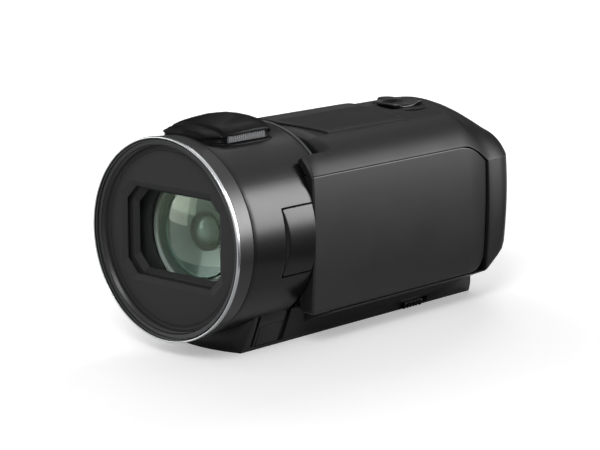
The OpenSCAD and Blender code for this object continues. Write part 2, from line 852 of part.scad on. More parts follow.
// Recess for the card door and the well of the card slot
module card_room() {
    block([-card_door_half - free_fit, card_door_front - free_fit, -lens_height - over],
        [card_door_half + free_fit, card_door_front + card_door_l + free_fit,
         -lens_height + base_gap + door_t + free_fit]);
    block([-card_slot_w / 2, card_y - card_slot_t / 2, -lens_height],
        [card_slot_w / 2, card_y + card_slot_t / 2, 0]);
}

// Recess for the jack door, its finger groove and the jacks' cavity, on the flank
module jack_room() {
    block([-door_t - 0.2, jack_front - 0.25, jack_low - 0.25],
        [far, jack_front + jack_w + 0.3, jack_low + jack_h + 0.25]);
    block([-1.1, jack_front + jack_w + 0.2, jack_low], [far, jack_front + jack_w + 2.6, far]);
    block([-0.9, jack_front - 2.2, jack_low], [far, jack_front - 1, far]);
    for (d = [3, jack_w - 2.6]) {
        translate([-jack_deep, jack_front + d, jack_mid]) rotate([0, 90, 0])
            cylinder(r = jack_r, h = jack_deep);
    }
}

jack_deep = 5.6;
jack_r = 2.2;
jack_mid = jack_low + jack_r + 0.3;

// Slot of the release lever, on the flank
module lever_room() {
    block([-5, lever_y - 0.3, 0.3], [far, lever_y + lever_l + lever_travel + 0.3, 3.2]);
}

// Cup that closes the rear, with the battery channel and the front wall of the rear block
module rear_cover() place() color("#232325") {
    wrap = i_foot + 1 + i_edge;
    block_front = body_section(rear_block + 2, 0.8);
    difference() {
        union() {
            shell(concat([rear_block], rear_depths), i_seam, wrap);
            cross_plate(body_rear - 1.8, body_rear - rear_lip, i_seam, wrap, body_rear, 0.9);
            slab_y(rear_block + 0.2, rear_block + 2) polygon(concat(stretch(block_front, 0, i_edge),
                [[case_x, block_front[i_edge][1]], [case_x, block_front[0][1]]]));
            channel_walls(channel_low - channel_wall, bevel_at(far) - 0.8);
        }
        battery_channel();
        rod_y(record_r + free_fit, channel_floor, far, record_x, record_z);
        rod_y(supply_r + 0.1, channel_floor, far, supply_x, supply_z);
        bar_holes();
        for (spot = screw_spots) {
            translate([spot[0], spot[1], -lens_height]) cylinder(r = 1, h = lens_height / 3);
        }
    }
}

module tripod_socket() place() color("#b4b5b8") {
    translate([0, socket_depth, -lens_height]) difference() {
        cylinder(r = socket_r - 0.05, h = tripod_len + 1.5);
        translate([0, 0, -over]) cylinder(r = tripod_r, h = tripod_len + over);
    }
}

module base_screws() place() color("#3d3e42") {
    for (spot = screw_spots) {
        translate([spot[0], spot[1], -lens_height + base_gap]) {
            difference() {
                cylinder(r = head_r, h = head_h);
                for (a = [0, 90]) {
                    rotate(a) block([-1.3, -0.25, -over], [1.3, 0.25, 0.6]);
                }
            }
            cylinder(r = 0.9, h = lens_height + floor_z - base_gap - 0.1);
        }
    }
}

// ---------------------------------------------------------------- screen hinge

ear_z = 5;
ear_t = 1.6;
ear_r = 2.4;
bracket_x = tube_r + 0.1;
pin_half = 9;
knuckle_x = hinge_x - 7;
swivel_x = hinge_x - 2.6;
knuckle_rear = panel_front - 1;

module hinge_bracket() place() color("#9da0a4") {
    difference() {
        union() {
            block([bracket_x, hinge_y - 3.6, -8], [bracket_x + 1.4, hinge_y + 6, 8]);
            for (side = [-1, 1]) {
                translate([0, 0, side * (ear_z + ear_t / 2) - ear_t / 2]) {
                    block([bracket_x, hinge_y - ear_r, 0], [hinge_x, hinge_y + ear_r, ear_t]);
                    translate([hinge_x, hinge_y, 0]) cylinder(r = ear_r, h = ear_t);
                }
            }
        }
        translate([hinge_x, hinge_y, -far]) cylinder(r = hinge_pin_r + 0.02, h = 2 * far);
    }
}

module hinge_pin() place() color("#b8babd") {
    translate([hinge_x, hinge_y, -pin_half]) cylinder(r = hinge_pin_r, h = 2 * pin_half);
}

module hinge_knuckle() place() color("#1c1c1d") {
    slot = ear_r + free_fit;
    difference() {
        intersection() {
            union() {
                translate([hinge_x, hinge_y, -knuckle_half])
                    cylinder(r = knuckle_r, h = 2 * knuckle_half);
                block([knuckle_x, hinge_y, -knuckle_half], [far, knuckle_rear, knuckle_half]);
            }
            rod_y(barrel_r - 0.05, 0, far);
            slab_x(0, far) polygon(round_rect(hinge_y - knuckle_r - 0.4, -knuckle_half,
                knuckle_rear, knuckle_half, 2));
        }
        for (side = [-1, 1]) {
            translate([hinge_x, hinge_y, side * (ear_z + ear_t / 2)])
                block([-far, -far, -ear_t / 2 - free_fit], [slot, slot, ear_t / 2 + free_fit]);
        }
        translate([hinge_x, hinge_y, -pin_half - 0.3])
            cylinder(r = hinge_pin_r + run_fit, h = 2 * pin_half + 0.6);
        rod_y(swivel_r + 0.02, knuckle_rear - 4, far, swivel_x);
    }
}

module swivel_shaft() place() color("#a9abae") {
    rod_y(swivel_r, knuckle_rear - 4, panel_front + 7, swivel_x);
}

// ---------------------------------------------------------------- screen panel

// Outline of the panel in depth and height, drawn in by inset
function panel_outline(inset) =
    let (top = bevel_z - panel_top_gap - inset,
         low = inset - panel_low,
         rear = panel_rear - inset,
         front = panel_front + inset,
         steps = 6)
    concat([[front, top]],
        [for (k = [0 : steps]) let (d = bevel_turn + (rear - bevel_turn) * k / steps)
            [d, bevel_at(d) - panel_top_gap - inset]],
        arc(rear - 7, low + 7, 7, 0, -90), arc(front + 5, low + 5, 5, 270, -90));

// Plan of the panel's outer face, with a round front edge and a finger scoop at the rear
module panel_plan(inset) {
    outer = side_x + side_bulge - inset;
    scoop = 10;
    steps = 6;
    polygon(concat([[0, panel_front]], arc(outer - 2, panel_front + 2, 2, -90, 90),
        [for (k = [0 : steps]) [outer - 2.6 * pow(k / steps, 1.5), panel_rear - scoop + scoop * k / steps]],
        [[0, panel_rear]]));
}

// Height section of the panel's outer face
module panel_section(inset) {
    low = -body_low + foot_lean * (side_x - foot_join) + 0.8;
    steps = 8;
    polygon(concat([[0, low - over]], [for (k = [-1 : steps + 1]) let (t = k / steps)
        [side_x - inset + side_bulge * (1 - pow(2 * t - 1, 2)), low + t * (bevel_z - low)]],
        [[0, bevel_z + 6]]));
}

module screen_shell() place() color("#2c2c2e") {
    difference() {
        intersection() {
            slab_x(panel_split, far) polygon(panel_outline(0));
            translate([0, 0, -far]) linear_extrude(2 * far) panel_plan(0);
            slab_y(0, far) panel_section(0);
        }
        intersection() {
            slab_x(0, side_x - panel_wall - 1.2) polygon(panel_outline(panel_wall));
            translate([0, 0, -far]) linear_extrude(2 * far) panel_plan(panel_wall);
        }
        rod_y(swivel_r + 0.02, 0, panel_front + 7, swivel_x);
    }
}

glass_front = panel_front + 12;
glass_rear = panel_rear - 9;
glass_low = 4 - panel_low;
glass_top = bevel_z - 8;
glass_t = 1.2;

module screen_bezel() place() color("#202022") {
    difference() {
        slab_x(panel_x, panel_split) polygon(panel_outline(0));
        slab_x(0, panel_x + 0.2 + glass_t)
            polygon(round_rect(glass_front - 0.1, glass_low - 0.1, glass_rear + 0.1, glass_top + 0.1, 1.5));
        rod_y(swivel_r + 0.02, 0, panel_front + 7, swivel_x);
    }
}

module screen_glass() place() color("#0c0d10") {
    slab_x(panel_x + 0.2, panel_x + 0.2 + glass_t)
        polygon(round_rect(glass_front, glass_low, glass_rear, glass_top, 1.4));
}

// ---------------------------------------------------------------- microphone hump

grille_front = hump_front + 7.5;
grille_rear = hump_front + 25;
grille_x = hump_half - 2.6;

// Ring of the hump at depth d: half width b and height top
function hump_ring(d, b, top) =
    let (base = sqrt(barrel_r * barrel_r - b * b))
    [for (p = [[b, base - 2.5], [b, base + 0.5], [b - 1.4, base + 2.6], [b - 4.6, top - 0.5],
        [b - 7, top], [0, top + 0.1], [7 - b, top], [4.6 - b, top - 0.5],
        [1.4 - b, base + 2.6], [-b, base + 0.5], [-b, base - 2.5]]) [p[0], d, p[1]]];

module hump_solid() {
    l = hump_rear - hump_front;
    loft([hump_ring(hump_front, hump_half - 2.5, hump_top - 3.6),
        hump_ring(hump_front + 2.5, hump_half - 1.5, hump_top - 2.6),
        hump_ring(hump_front + 0.3 * l, hump_half, hump_top - 1.9),
        hump_ring(hump_front + 0.6 * l, hump_half, hump_top - 0.4),
        hump_ring(hump_front + 0.8 * l, hump_half - 0.6, hump_top - 1.6),
        hump_ring(hump_rear, hump_half - 3, hump_top - 4.6)]);
}

module mic_cover() place() color("#202022") {
    difference() {
        hump_solid();
        rod_y(barrel_r + 0.03, 0, far);
        block([2.2 - hump_half + 2.4, hump_front + 5, 0],
            [hump_half - 2.4 - 2.2, hump_rear - 9, hump_top - 2.6]);
        for (side = [-1, 1]) {
            block([min(side * (grille_x - 1), side * far), grille_front, barrel_r - 2.2],
                [max(side * (grille_x - 1), side * far), grille_rear, barrel_r - 0.1]);
        }
    }
}

module mic_grille() place() color("#8b8d8f") {
    for (side = [-1, 1]) {
        difference() {
            block([min(side * (grille_x - 0.9), side * (grille_x + 0.1)), grille_front + 0.1, barrel_r - 2.1],
                [max(side * (grille_x - 0.9), side * (grille_x + 0.1)), grille_rear - 0.1, barrel_r - 0.2]);
            rod_y(barrel_r, 0, far);
        }
    }
}

module mic_capsules() place() color("#6f7174") {
    for (d = [hump_front + 8, hump_front + 16, hump_front + 24], x = [-4, 4]) {
        translate([x, d, sqrt(barrel_r * barrel_r - 4) + 0.05]) cylinder(r = 2, h = 1.8);
    }
}

// ---------------------------------------------------------------- controls

lever_half = zoom_well_r - 0.5;
pad_rise = 1.4;

module zoom_lever() place() color("#1e1e1f") {
    translate([zoom_x, zoom_y, zoom_floor + 0.2]) {
        intersection() {
            union() {
                translate([-4, -lever_half, 0]) cube([8, 2 * lever_half, 1.1]);
                for (side = [-1, 1]) {
                    translate([-3.6, side * (lever_half - 2.9) - 2.9, 0]) cube([7.2, 5.8, pad_rise]);
                }
            }
            cylinder(r = lever_half, h = far);
        }
        translate([0, 0, -2.4]) cylinder(r = 1.5, h = 3);
    }
}

module photo_button() place() color("#39393b") {
    translate([photo_x, photo_y, body_top - 4.6]) cylinder(r = photo_r, h = 4.2);
}

module record_button() place() color("#3a3a3c") {
    rod_y(record_r, body_rear - wall - 1.6, body_rear + record_rise, record_x, record_z);
}

module power_button() place() color("#3a3a3c") {
    rod_x(key_r, case_x - 1, recess_x + 0.3, power_y, key_z);
}

module play_button() place() color("#3a3a3c") {
    rod_x(key_r, case_x - 1, recess_x + 0.3, play_y, key_z);
}

// ---------------------------------------------------------------- battery

battery_low = battery_top - battery_h;

module battery() place() color("#1d1d1f") {
    x0 = channel_x0 + 0.3;
    x1 = channel_x1 - 0.3;
    front = channel_floor + 1.1;
    intersection() {
        translate([0, 0, battery_low]) linear_extrude(battery_h)
            polygon(concat([[x1, front]], arc(x1 - 3, battery_end - 3, 3, 0, 90),
                arc(x0 + 3, battery_end - 3, 3, 90, 90), [[x0, front]]));
        slab_x(x0 - over, x1 + over)
            polygon(concat([[front, battery_low]], arc(battery_end - 2, battery_low + 2, 2, 270, 90),
                arc(battery_end - 2, battery_top - 2, 2, 0, 90), [[front, battery_top]]));
    }
}

module battery_plate() place() color("#2a2a2c") {
    difference() {
        block([channel_x0 + 0.1, channel_floor, battery_low], [channel_x1 - 0.1, channel_floor + 0.8, battery_top]);
        contact_strips(0.05);
    }
}

// Row of contact strips let into the plate
module contact_strips(grow) {
    for (k = [0 : 3]) {
        x = (channel_x0 + channel_x1) / 2 - 5.25 + 3.5 * k;
        block([x - 0.8 - grow, channel_floor, battery_low + 5 - grow],
            [x + 0.8 + grow, channel_floor + 0.9, battery_low + 12 + grow]);
    }
}

module battery_contacts() place() color("#c9a64b") {
    contact_strips(0);
}

module release_lever() place() color("#2c2c2e") {
    teeth = 5;
    pitch = (lever_l - 2) / teeth;
    on_flank() difference() {
        block([-4.6, lever_y, 0.6], [1.1, lever_y + lever_l, 2.9]);
        for (k = [0 : teeth - 1]) {
            translate([1.1, lever_y + 1 + pitch * (k + 0.5), -over]) rotate(45)
                translate([-0.4, -0.4, 0]) cube([0.8, 0.8, 6]);
        }
    }
}

// ---------------------------------------------------------------- doors and sockets

module jack_door() place() color("#28282a") {
    on_flank() {
        translate([-jack_hinge, jack_front + jack_hinge, jack_low]) cylinder(r = jack_hinge, h = jack_h);
        block([-door_t, jack_front + jack_hinge, jack_low], [0, jack_front + jack_w, jack_low + jack_h]);
    }
}

module jack_sockets() place() color("#55575a") {
    on_flank() {
        for (d = [3, jack_w - 2.6]) {
            translate([-jack_deep + 0.1, jack_front + d, jack_mid]) rotate([0, 90, 0]) difference() {
                cylinder(r = jack_r - 0.05, h = jack_deep - door_t - 0.5);
                translate([0, 0, 0.6]) cylinder(r = 1.75, h = jack_deep);
            }
        }
    }
}

module card_door() place() color("#28282a") {
    z = base_gap - lens_height;
    hinge = door_t / 2;
    rod_x(hinge, -card_door_half, card_door_half, card_door_front + hinge, z + hinge);
    block([-card_door_half, card_door_front + hinge, z],
        [card_door_half, card_door_front + card_door_l, z + door_t]);
}

module card_slot() place() color("#a3a5a8") {
    low = base_gap + door_t + free_fit - lens_height;
    high = low + 23;
    difference() {
        block([-card_slot_w / 2 + 0.05, card_y - card_slot_t / 2 + 0.05, low],
            [card_slot_w / 2 - 0.05, card_y + card_slot_t / 2 - 0.05, high]);
        block([-12.3, card_y - 1.3, low - over], [12.3, card_y + 1.3, high - 1]);
    }
}

// Holes of the two interface sockets in the recess wall, grown by grow
module port_holes(grow) {
    for (spot = [[card_y - 24, 6], [card_y - 8, 4.4]]) {
        block([case_x - 7, spot[0] - spot[1] - grow, port_z - 2 - grow],
            [recess_x + over, spot[0] + spot[1] + grow, port_z + 2 + grow]);
    }
}

module port_sockets() place() color("#a3a5a8") {
    difference() {
        intersection() {
            port_holes(0);
            block([case_x - 7, 0, -far], [recess_x - 0.1, far, far]);
        }
        for (spot = [[card_y - 24, 5.2], [card_y - 8, 3.6]]) {
            block([case_x - 6, spot[0] - spot[1], port_z - 1.3], [far, spot[0] + spot[1], port_z + 1.3]);
        }
    }
}

module supply_socket() place() color("#55575a") {
    difference() {
        rod_y(supply_r, channel_floor, body_rear - 0.4, supply_x, supply_z);
        rod_y(2, channel_floor + 1, far, supply_x, supply_z);
    }
    rod_y(0.7, channel_floor, body_rear - 1.4, supply_x, supply_z);
}

module speaker() place() color("#4c4d50") {
    rod_x(speaker_r, case_x - 5, case_x - 0.1, speaker_y, speaker_z);
}

// ---------------------------------------------------------------- strap

bar_x = -grip_x - 4;
bar_chord = (strap_rear - strap_front) / 2;
strap_mid = (strap_rear + strap_front) / 2;
strap_r = (bar_chord * bar_chord + strap_bulge * strap_bulge) / (2 * strap_bulge);
strap_cx = bar_x - strap_bulge + strap_r;
band_t = 1.4;

// Bent strip between two radii, as tall as h, over half an angle to each side
module bent_strip(r0, r1, h, half_angle) {
    translate([strap_cx, strap_mid, -h / 2]) linear_extrude(h) difference() {
        circle(r = r1, $fn = 256);
        circle(r = r0, $fn = 256);
        polygon([[0, 0], far * [-cos(half_angle), sin(half_angle)], far * [-1, 9], far * [9, 9],
            far * [9, -9], far * [-1, -9], far * [-cos(half_angle), -sin(half_angle)]]);
    }
}

module strap_band() place() color("#1f1f21") {
    reach = asin((bar_chord - bar_r - 0.5) / strap_r);
    bent_strip(strap_r, strap_r + band_t, strap_h, reach);
}

module strap_pad() place() color("#2a2a2c") {
    reach = asin(0.72 * bar_chord / strap_r);
    bent_strip(strap_r - 0.3 - pad_t, strap_r - 0.3, strap_h + 5, reach);
}

module strap_bars() place() color("#8d8f92") {
    for (d = [strap_front, strap_rear]) {
        translate([bar_x, d, -bar_half - bar_r]) cylinder(r = bar_r, h = 2 * (bar_half + bar_r));
        for (side = [-1, 1]) {
            rod_x(bar_r, bar_x, -grip_x + 4, d, side * bar_half);
        }
    }
}

// ---------------------------------------------------------------- nodes

trim_ring();
filter_ring();
baffle_plate();
barrier_frame();
upper_blade();
upper_follower();
lower_blade();
lower_follower();
barrel_shell();
front_lens();
lens_retainer();
lens_tube();
zoom_carriage();
zoom_lens();
focus_carriage();
focus_lens();
guide_rods();
lead_screw();
zoom_motor();
sensor_block();
main_board();
chassis_plate();
grip_case();
screen_case();
top_cover();
shoulder_cover();
top_plate();
base_cover();
rear_cover();
tripod_socket();
base_screws();
hinge_bracket();
hinge_pin();
hinge_knuckle();
swivel_shaft();
screen_shell();
screen_bezel();
screen_glass();
mic_cover();
mic_grille();
mic_capsules();
zoom_lever();
photo_button();
record_button();
power_button();
play_button();
battery();
battery_plate();
battery_contacts();
release_lever();
jack_door();
jack_sockets();
card_door();
card_slot();
port_sockets();
supply_socket();
speaker();
strap_band();
strap_pad();
strap_bars();
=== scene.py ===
# %% [markdown]
# # A compact camcorder
# The real object is a black plastic camera with a round lens barrel in front, a flat body
# behind it, a screen that folds out of one side and a hand strap on the other. Its inner
# construction is already made as solids. This file loads them as a fixed frame and dresses
# them: smooth outer skins, materials, light and a camera.

# %% The frame
import json
import math

import bmesh
import bpy
import numpy as np
from mathutils import Matrix, Vector

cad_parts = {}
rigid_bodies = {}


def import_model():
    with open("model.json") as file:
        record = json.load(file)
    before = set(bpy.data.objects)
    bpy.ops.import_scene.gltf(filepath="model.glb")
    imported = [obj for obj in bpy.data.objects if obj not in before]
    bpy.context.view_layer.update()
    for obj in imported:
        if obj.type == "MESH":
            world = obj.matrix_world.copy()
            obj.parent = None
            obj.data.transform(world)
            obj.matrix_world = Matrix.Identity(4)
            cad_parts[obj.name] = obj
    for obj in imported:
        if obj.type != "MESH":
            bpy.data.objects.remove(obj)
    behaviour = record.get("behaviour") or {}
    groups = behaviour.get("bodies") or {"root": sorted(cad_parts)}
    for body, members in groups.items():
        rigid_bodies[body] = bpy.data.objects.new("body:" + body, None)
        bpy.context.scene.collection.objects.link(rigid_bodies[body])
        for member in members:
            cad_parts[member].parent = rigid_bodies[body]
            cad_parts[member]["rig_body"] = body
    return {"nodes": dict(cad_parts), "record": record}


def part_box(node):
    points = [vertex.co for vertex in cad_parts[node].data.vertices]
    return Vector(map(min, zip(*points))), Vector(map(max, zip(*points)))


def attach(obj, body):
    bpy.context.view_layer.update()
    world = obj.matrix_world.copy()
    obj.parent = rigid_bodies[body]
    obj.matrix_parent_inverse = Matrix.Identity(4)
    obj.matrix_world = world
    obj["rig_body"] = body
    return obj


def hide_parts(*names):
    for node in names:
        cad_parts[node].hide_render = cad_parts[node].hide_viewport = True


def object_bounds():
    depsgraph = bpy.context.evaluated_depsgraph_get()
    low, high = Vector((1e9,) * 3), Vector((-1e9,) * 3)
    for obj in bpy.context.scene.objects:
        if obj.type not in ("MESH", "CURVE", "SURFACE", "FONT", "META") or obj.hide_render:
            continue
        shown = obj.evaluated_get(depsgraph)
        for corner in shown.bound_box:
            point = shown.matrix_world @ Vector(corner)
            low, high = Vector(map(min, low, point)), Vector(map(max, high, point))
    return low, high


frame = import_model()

cad_low, cad_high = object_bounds()
ring_low, ring_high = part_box("trim_ring")
AXIS_UP = 1000 * (ring_low.z + ring_high.z) / 2
FRONT = 1000 * ring_low.y
RING_R = 500 * (ring_high.x - ring_low.x)
print("lens axis", round(AXIS_UP, 2), "mm up, front at y", round(FRONT, 2), "ring radius", round(RING_R, 2))

# %% [markdown]
# Camera makers measure from the lens. So every shape here is worked out in millimetres in
# the lens frame: x towards the screen, d back from the front ring, z up from the lens axis.
# One function moves the finished points into the shared frame, in metres. A surface is a grid
# of points worked out as whole arrays, so its faces follow from the grid's two sizes.

# %% Points and grids
def placed(points):
    """Lens frame (x, d, z) in mm to the shared frame in metres: shift d and z, then divide."""
    return (np.asarray(points, float) + [0.0, FRONT, AXIS_UP]) / 1000


def grid_faces(rows, cols, loop_rows=False, loop_cols=False, keep=None):
    """Quads between neighbouring points of a rows by cols grid; keep is a mask of the cells."""
    r, c = np.meshgrid(np.arange(rows if loop_rows else rows - 1),
                       np.arange(cols if loop_cols else cols - 1), indexing="ij")
    after_r, after_c = (r + 1) % rows, (c + 1) % cols
    quads = np.stack([r * cols + c, r * cols + after_c, after_r * cols + after_c,
                      after_r * cols + c], -1)
    return quads.reshape(-1, 4) if keep is None else quads[keep]


def tube_faces(rings):
    """Faces of a closed skin: rings of points joined one to the next, with both ends capped."""
    rows, cols = rings.shape[:2]
    ends = [list(range(cols))[::-1], list(range((rows - 1) * cols, rows * cols))]
    return grid_faces(rows, cols, loop_cols=True).tolist() + ends


print("a 3 by 4 tube has", len(tube_faces(np.zeros((3, 4, 3)))), "faces")

# %% [markdown]
# Each piece is one mesh object that rides on a body of the frame, so that it moves with its
# joint. Doubles are merged, and on a closed skin the faces are turned outwards. Smooth shading
# with crisp edges over an angle lets a curved skin look round and a corner look sharp.

# %% Pieces
def smooth(obj, sharp=32):
    """Smooth shading, with edges over the angle marked sharp."""
    obj.data.shade_smooth()
    obj.data.set_sharp_from_angle(angle=math.radians(sharp))


def piece(name, points, faces, body, finish, sharp=32, closed=True):
    """Puts points and faces into a mesh that rides on a body. A closed one gets its faces
    turned outwards. Edges sharper than the angle stay crisp, and the rest shade smoothly."""
    points = np.asarray(points, float).reshape(-1, 3)
    mesh = bpy.data.meshes.new(name)
    mesh.from_pydata(placed(points).tolist(), [], [[int(i) for i in f] for f in faces])
    bm = bmesh.new()
    bm.from_mesh(mesh)
    loose = [v for v in bm.verts if not v.link_faces]
    bmesh.ops.delete(bm, geom=loose, context="VERTS")
    bmesh.ops.remove_doubles(bm, verts=bm.verts, dist=1e-7)
    if closed:
        bmesh.ops.recalc_face_normals(bm, faces=bm.faces)
    bm.to_mesh(mesh)
    bm.free()
    mesh.materials.append(finish)
    obj = bpy.data.objects.new(name, mesh)
    bpy.context.scene.collection.objects.link(obj)
    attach(obj, body)
    smooth(obj, sharp)
    return obj


def bevelled(width, over, segments=2):
    """Settings of a bevel of width mm on the edges that turn by more than over degrees."""
    return "BEVEL", {"width": width / 1000, "segments": segments, "limit_method": "ANGLE",
                     "angle_limit": math.radians(over), "use_clamp_overlap": True}


def finished(obj, *modifiers, sharp=32):
    """Adds modifiers given as (kind, settings), applies them all and shades the result."""
    for kind, settings in modifiers:
        made = obj.modifiers.new(kind.title(), kind)
        for key, value in settings.items():
            setattr(made, key, value)
    mesh = bpy.data.meshes.new_from_object(
        obj.evaluated_get(bpy.context.evaluated_depsgraph_get()))
    obj.modifiers.clear()
    old, obj.data = obj.data, mesh
    name = old.name
    bpy.data.meshes.remove(old)
    mesh.name = name
    smooth(obj, sharp)
    return obj


print("pieces can be made and finished")

# %% [markdown]
# Moulded parts have no knife edges: a tool radius of a few tenths of a millimetre runs round
# every rim, and it is what catches the light. The next helpers round a corner, draw an
# outline in by a margin and carry it over a rounded edge.

# %% Outlines and rounded slabs
def rounded(corners, reach, steps=6):
    """Each corner becomes a quadratic curve from reach mm before it to reach mm after it."""
    p = np.asarray(corners, float)
    reach = np.broadcast_to(np.asarray(reach, float), len(p))[:, None]
    ahead, behind = np.roll(p, -1, 0) - p, np.roll(p, 1, 0) - p
    a = p + behind / np.linalg.norm(behind, axis=1, keepdims=True) * reach
    c = p + ahead / np.linalg.norm(ahead, axis=1, keepdims=True) * reach
    t = np.linspace(0, 1, steps + 1)[None, :, None]
    return ((1 - t) ** 2 * a[:, None] + 2 * t * (1 - t) * p[:, None] + t ** 2 * c[:, None]).reshape(-1, 2)


def area(outline):
    """Signed area of an outline, positive when it runs anticlockwise."""
    x, y = np.asarray(outline).T
    return 0.5 * np.sum(x * np.roll(y, -1) - y * np.roll(x, -1))


def drawn_in(outline, amount):
    """Moves each point inwards along the mean of its two edge normals: edges move by amount."""
    p = np.asarray(outline, float)
    side = 1.0 if area(p) > 0 else -1.0
    ahead = np.roll(p, -1, 0) - p
    ahead /= np.linalg.norm(ahead, axis=1, keepdims=True) + 1e-12
    normal = side * np.stack([-ahead[:, 1], ahead[:, 0]], 1)
    before = np.roll(normal, 1, 0)
    middle = (normal + before) / (1 + np.sum(normal * before, 1, keepdims=True)).clip(0.3)
    return p + amount * middle


def slab_rings(outline, low, high, edge=0.4, steps=4):
    """Rings (u, v, height) of a slab whose two rims are quarter circles of radius edge."""
    turn = np.linspace(0, math.pi / 2, steps + 1)
    rings = [np.column_stack([drawn_in(outline, edge * (1 - math.sin(a))),
                              np.full(len(outline), low + edge * (1 - math.cos(a)))])
             for a in turn]
    rings += [np.column_stack([drawn_in(outline, edge * (1 - math.cos(a))),
                               np.full(len(outline), high - edge * (1 - math.sin(a)))])
              for a in turn]
    return np.array(rings)


def arranged(rings, order):
    """Columns named by order, such as dzx, put back as x, d, z."""
    out = np.empty_like(rings)
    for column, axis in enumerate(order):
        out[..., "xdz".index(axis)] = rings[..., column]
    return out


def slab(name, outline, low, high, order, body, finish, edge=0.4):
    """A rounded slab as a piece: outline in the first two axes of order, height in the third."""
    rings = arranged(slab_rings(outline, low, high, edge), order)
    return piece(name, rings, tube_faces(rings), body, finish)


print("a square of 2 mm drawn in by 0.5 mm covers",
      float(area(drawn_in([[0, 0], [2, 0], [2, 2], [0, 2]], 0.5)).round(2)), "mm2")

# %% [markdown]
# Rings, lenses and the like are turned parts: a profile carried round the lens axis. Small
# mouldings whose solids are right already only need their edges rounded, so they are welded
# copies of the solids. The solids' own meshes stay as they are.

# %% Turned parts and softened solids
def lathe(name, profile, body, finish, around=256, sharp=32):
    """Turns a closed profile of (radius, depth) about the lens axis: x = r cos a, z = r sin a."""
    r, d = np.asarray(profile, float).T
    a = np.linspace(0, 2 * math.pi, around, endpoint=False)
    points = np.stack([np.outer(r, np.cos(a)), np.repeat(d[:, None], around, 1),
                       np.outer(r, np.sin(a))], -1)
    return piece(name, points, grid_faces(len(r), around, True, True), body, finish, sharp)


def softened(node, finish, width):
    """A welded copy of a solid whose flat faces are merged and whose rims are rounded."""
    source = frame["nodes"][node]
    mesh = source.data.copy()
    bm = bmesh.new()
    bm.from_mesh(mesh)
    bmesh.ops.remove_doubles(bm, verts=bm.verts, dist=2e-6)
    bmesh.ops.dissolve_limit(bm, angle_limit=math.radians(1.2), verts=bm.verts, edges=bm.edges)
    bm.to_mesh(mesh)
    bm.free()
    mesh.materials.clear()
    mesh.materials.append(finish)
    obj = bpy.data.objects.new(node + "_skin", mesh)
    bpy.context.scene.collection.objects.link(obj)
    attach(obj, source["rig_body"])
    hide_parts(node)
    return finished(obj, bevelled(width, 35))


print("helpers ready")

# %% [markdown]
# A finish is a small graph of nodes, and building one by hand repeats the same few lines. So
# one function turns a hex colour to linear light, one adds a node with its settings and
# links, and one starts a material. The last makes the finish that nearly every piece here
# has: an even colour, a drifting sheen and a fine grain.

# %% Colours and nodes
def linear(code):
    """An sRGB hex colour as linear RGBA: ((c + 0.055) / 1.055) ** 2.4 above 0.04045."""
    c = np.array([int(code[i:i + 2], 16) / 255 for i in (1, 3, 5)])
    c = np.where(c > 0.04045, ((c + 0.055) / 1.055) ** 2.4, c / 12.92)
    return (*c.tolist(), 1.0)


def add_node(tree, kind, settings=None, **links):
    """Adds a node: settings go to its properties or input sockets, links join its inputs."""
    node = tree.nodes.new(kind)
    for key, value in (settings or {}).items():
        if isinstance(key, int) or key in node.inputs:
            node.inputs[key].default_value = value
        else:
            setattr(node, key, value)
    for key, source in links.items():
        socket = int(key[1:]) if key[1:].isdigit() else key.replace("_", " ")
        tree.links.new(source, node.inputs[socket])
    return node


def started(name, settings):
    """A new material with its shader and the Object coordinates that its patterns read."""
    made = bpy.data.materials.new(name)
    made.use_nodes = True
    tree = made.node_tree
    shader = tree.nodes["Principled BSDF"]
    for key, value in settings.items():
        shader.inputs[key].default_value = value
    return made, tree, shader, add_node(tree, "ShaderNodeTexCoord").outputs["Object"]


def surfaced(name, colour, rough, grain_mm=0.35, depth=0.02, drift=0.05, shade=0.06,
             stretch=(1, 1, 1), specular=0.5, metal=0.0):
    """A finish with tooling grain: a slow noise drifts the colour and the roughness, and a
    fine one of grain_mm raises a bump of depth mm. stretch draws the grain out along an axis."""
    made, tree, shader, place = started(name, {"Specular IOR Level": specular, "Metallic": metal})
    slow = add_node(tree, "ShaderNodeTexNoise", {"Scale": 60.0, "Detail": 3.0}, Vector=place)
    base = np.array(linear(colour))
    tint = add_node(tree, "ShaderNodeMix", {"data_type": "RGBA", 6: (*(base[:3] * (1 - shade)), 1.0),
                    7: (*(base[:3] * (1 + shade)), 1.0)}, _0=slow.outputs["Fac"])
    tree.links.new(tint.outputs[2], shader.inputs["Base Color"])
    spread = add_node(tree, "ShaderNodeMapRange", {"To Min": max(rough - drift, 0.02),
                      "To Max": rough + drift}, Value=slow.outputs["Fac"])
    tree.links.new(spread.outputs["Result"], shader.inputs["Roughness"])
    drawn = add_node(tree, "ShaderNodeMapping", {"Scale": stretch}, Vector=place)
    fine = add_node(tree, "ShaderNodeTexNoise", {"Scale": 1000 / grain_mm, "Detail": 2.0},
                    Vector=drawn.outputs["Vector"])
    bump = add_node(tree, "ShaderNodeBump", {"Strength": 0.5, "Distance": depth / 1000},
                    Height=fine.outputs["Fac"])
    tree.links.new(bump.outputs["Normal"], shader.inputs["Normal"])
    return made


print("a finish starts from linear light, such as", [round(v, 4) for v in linear("#121213")[:3]])

# %% [markdown]
# The outside is moulded ABS and polycarbonate, dyed or painted black. Its colour hardly
# changes from part to part. What the eye reads is the sheen: fine spark-eroded grain on the
# body, a smoother lacquer on the barrel. So each plastic has its own roughness, a slow drift
# in it, and a bump with the grain size of the mould. Plastic reflects about 4 % of the light,
# and lacquer with a matting agent less, so the specular level is low.

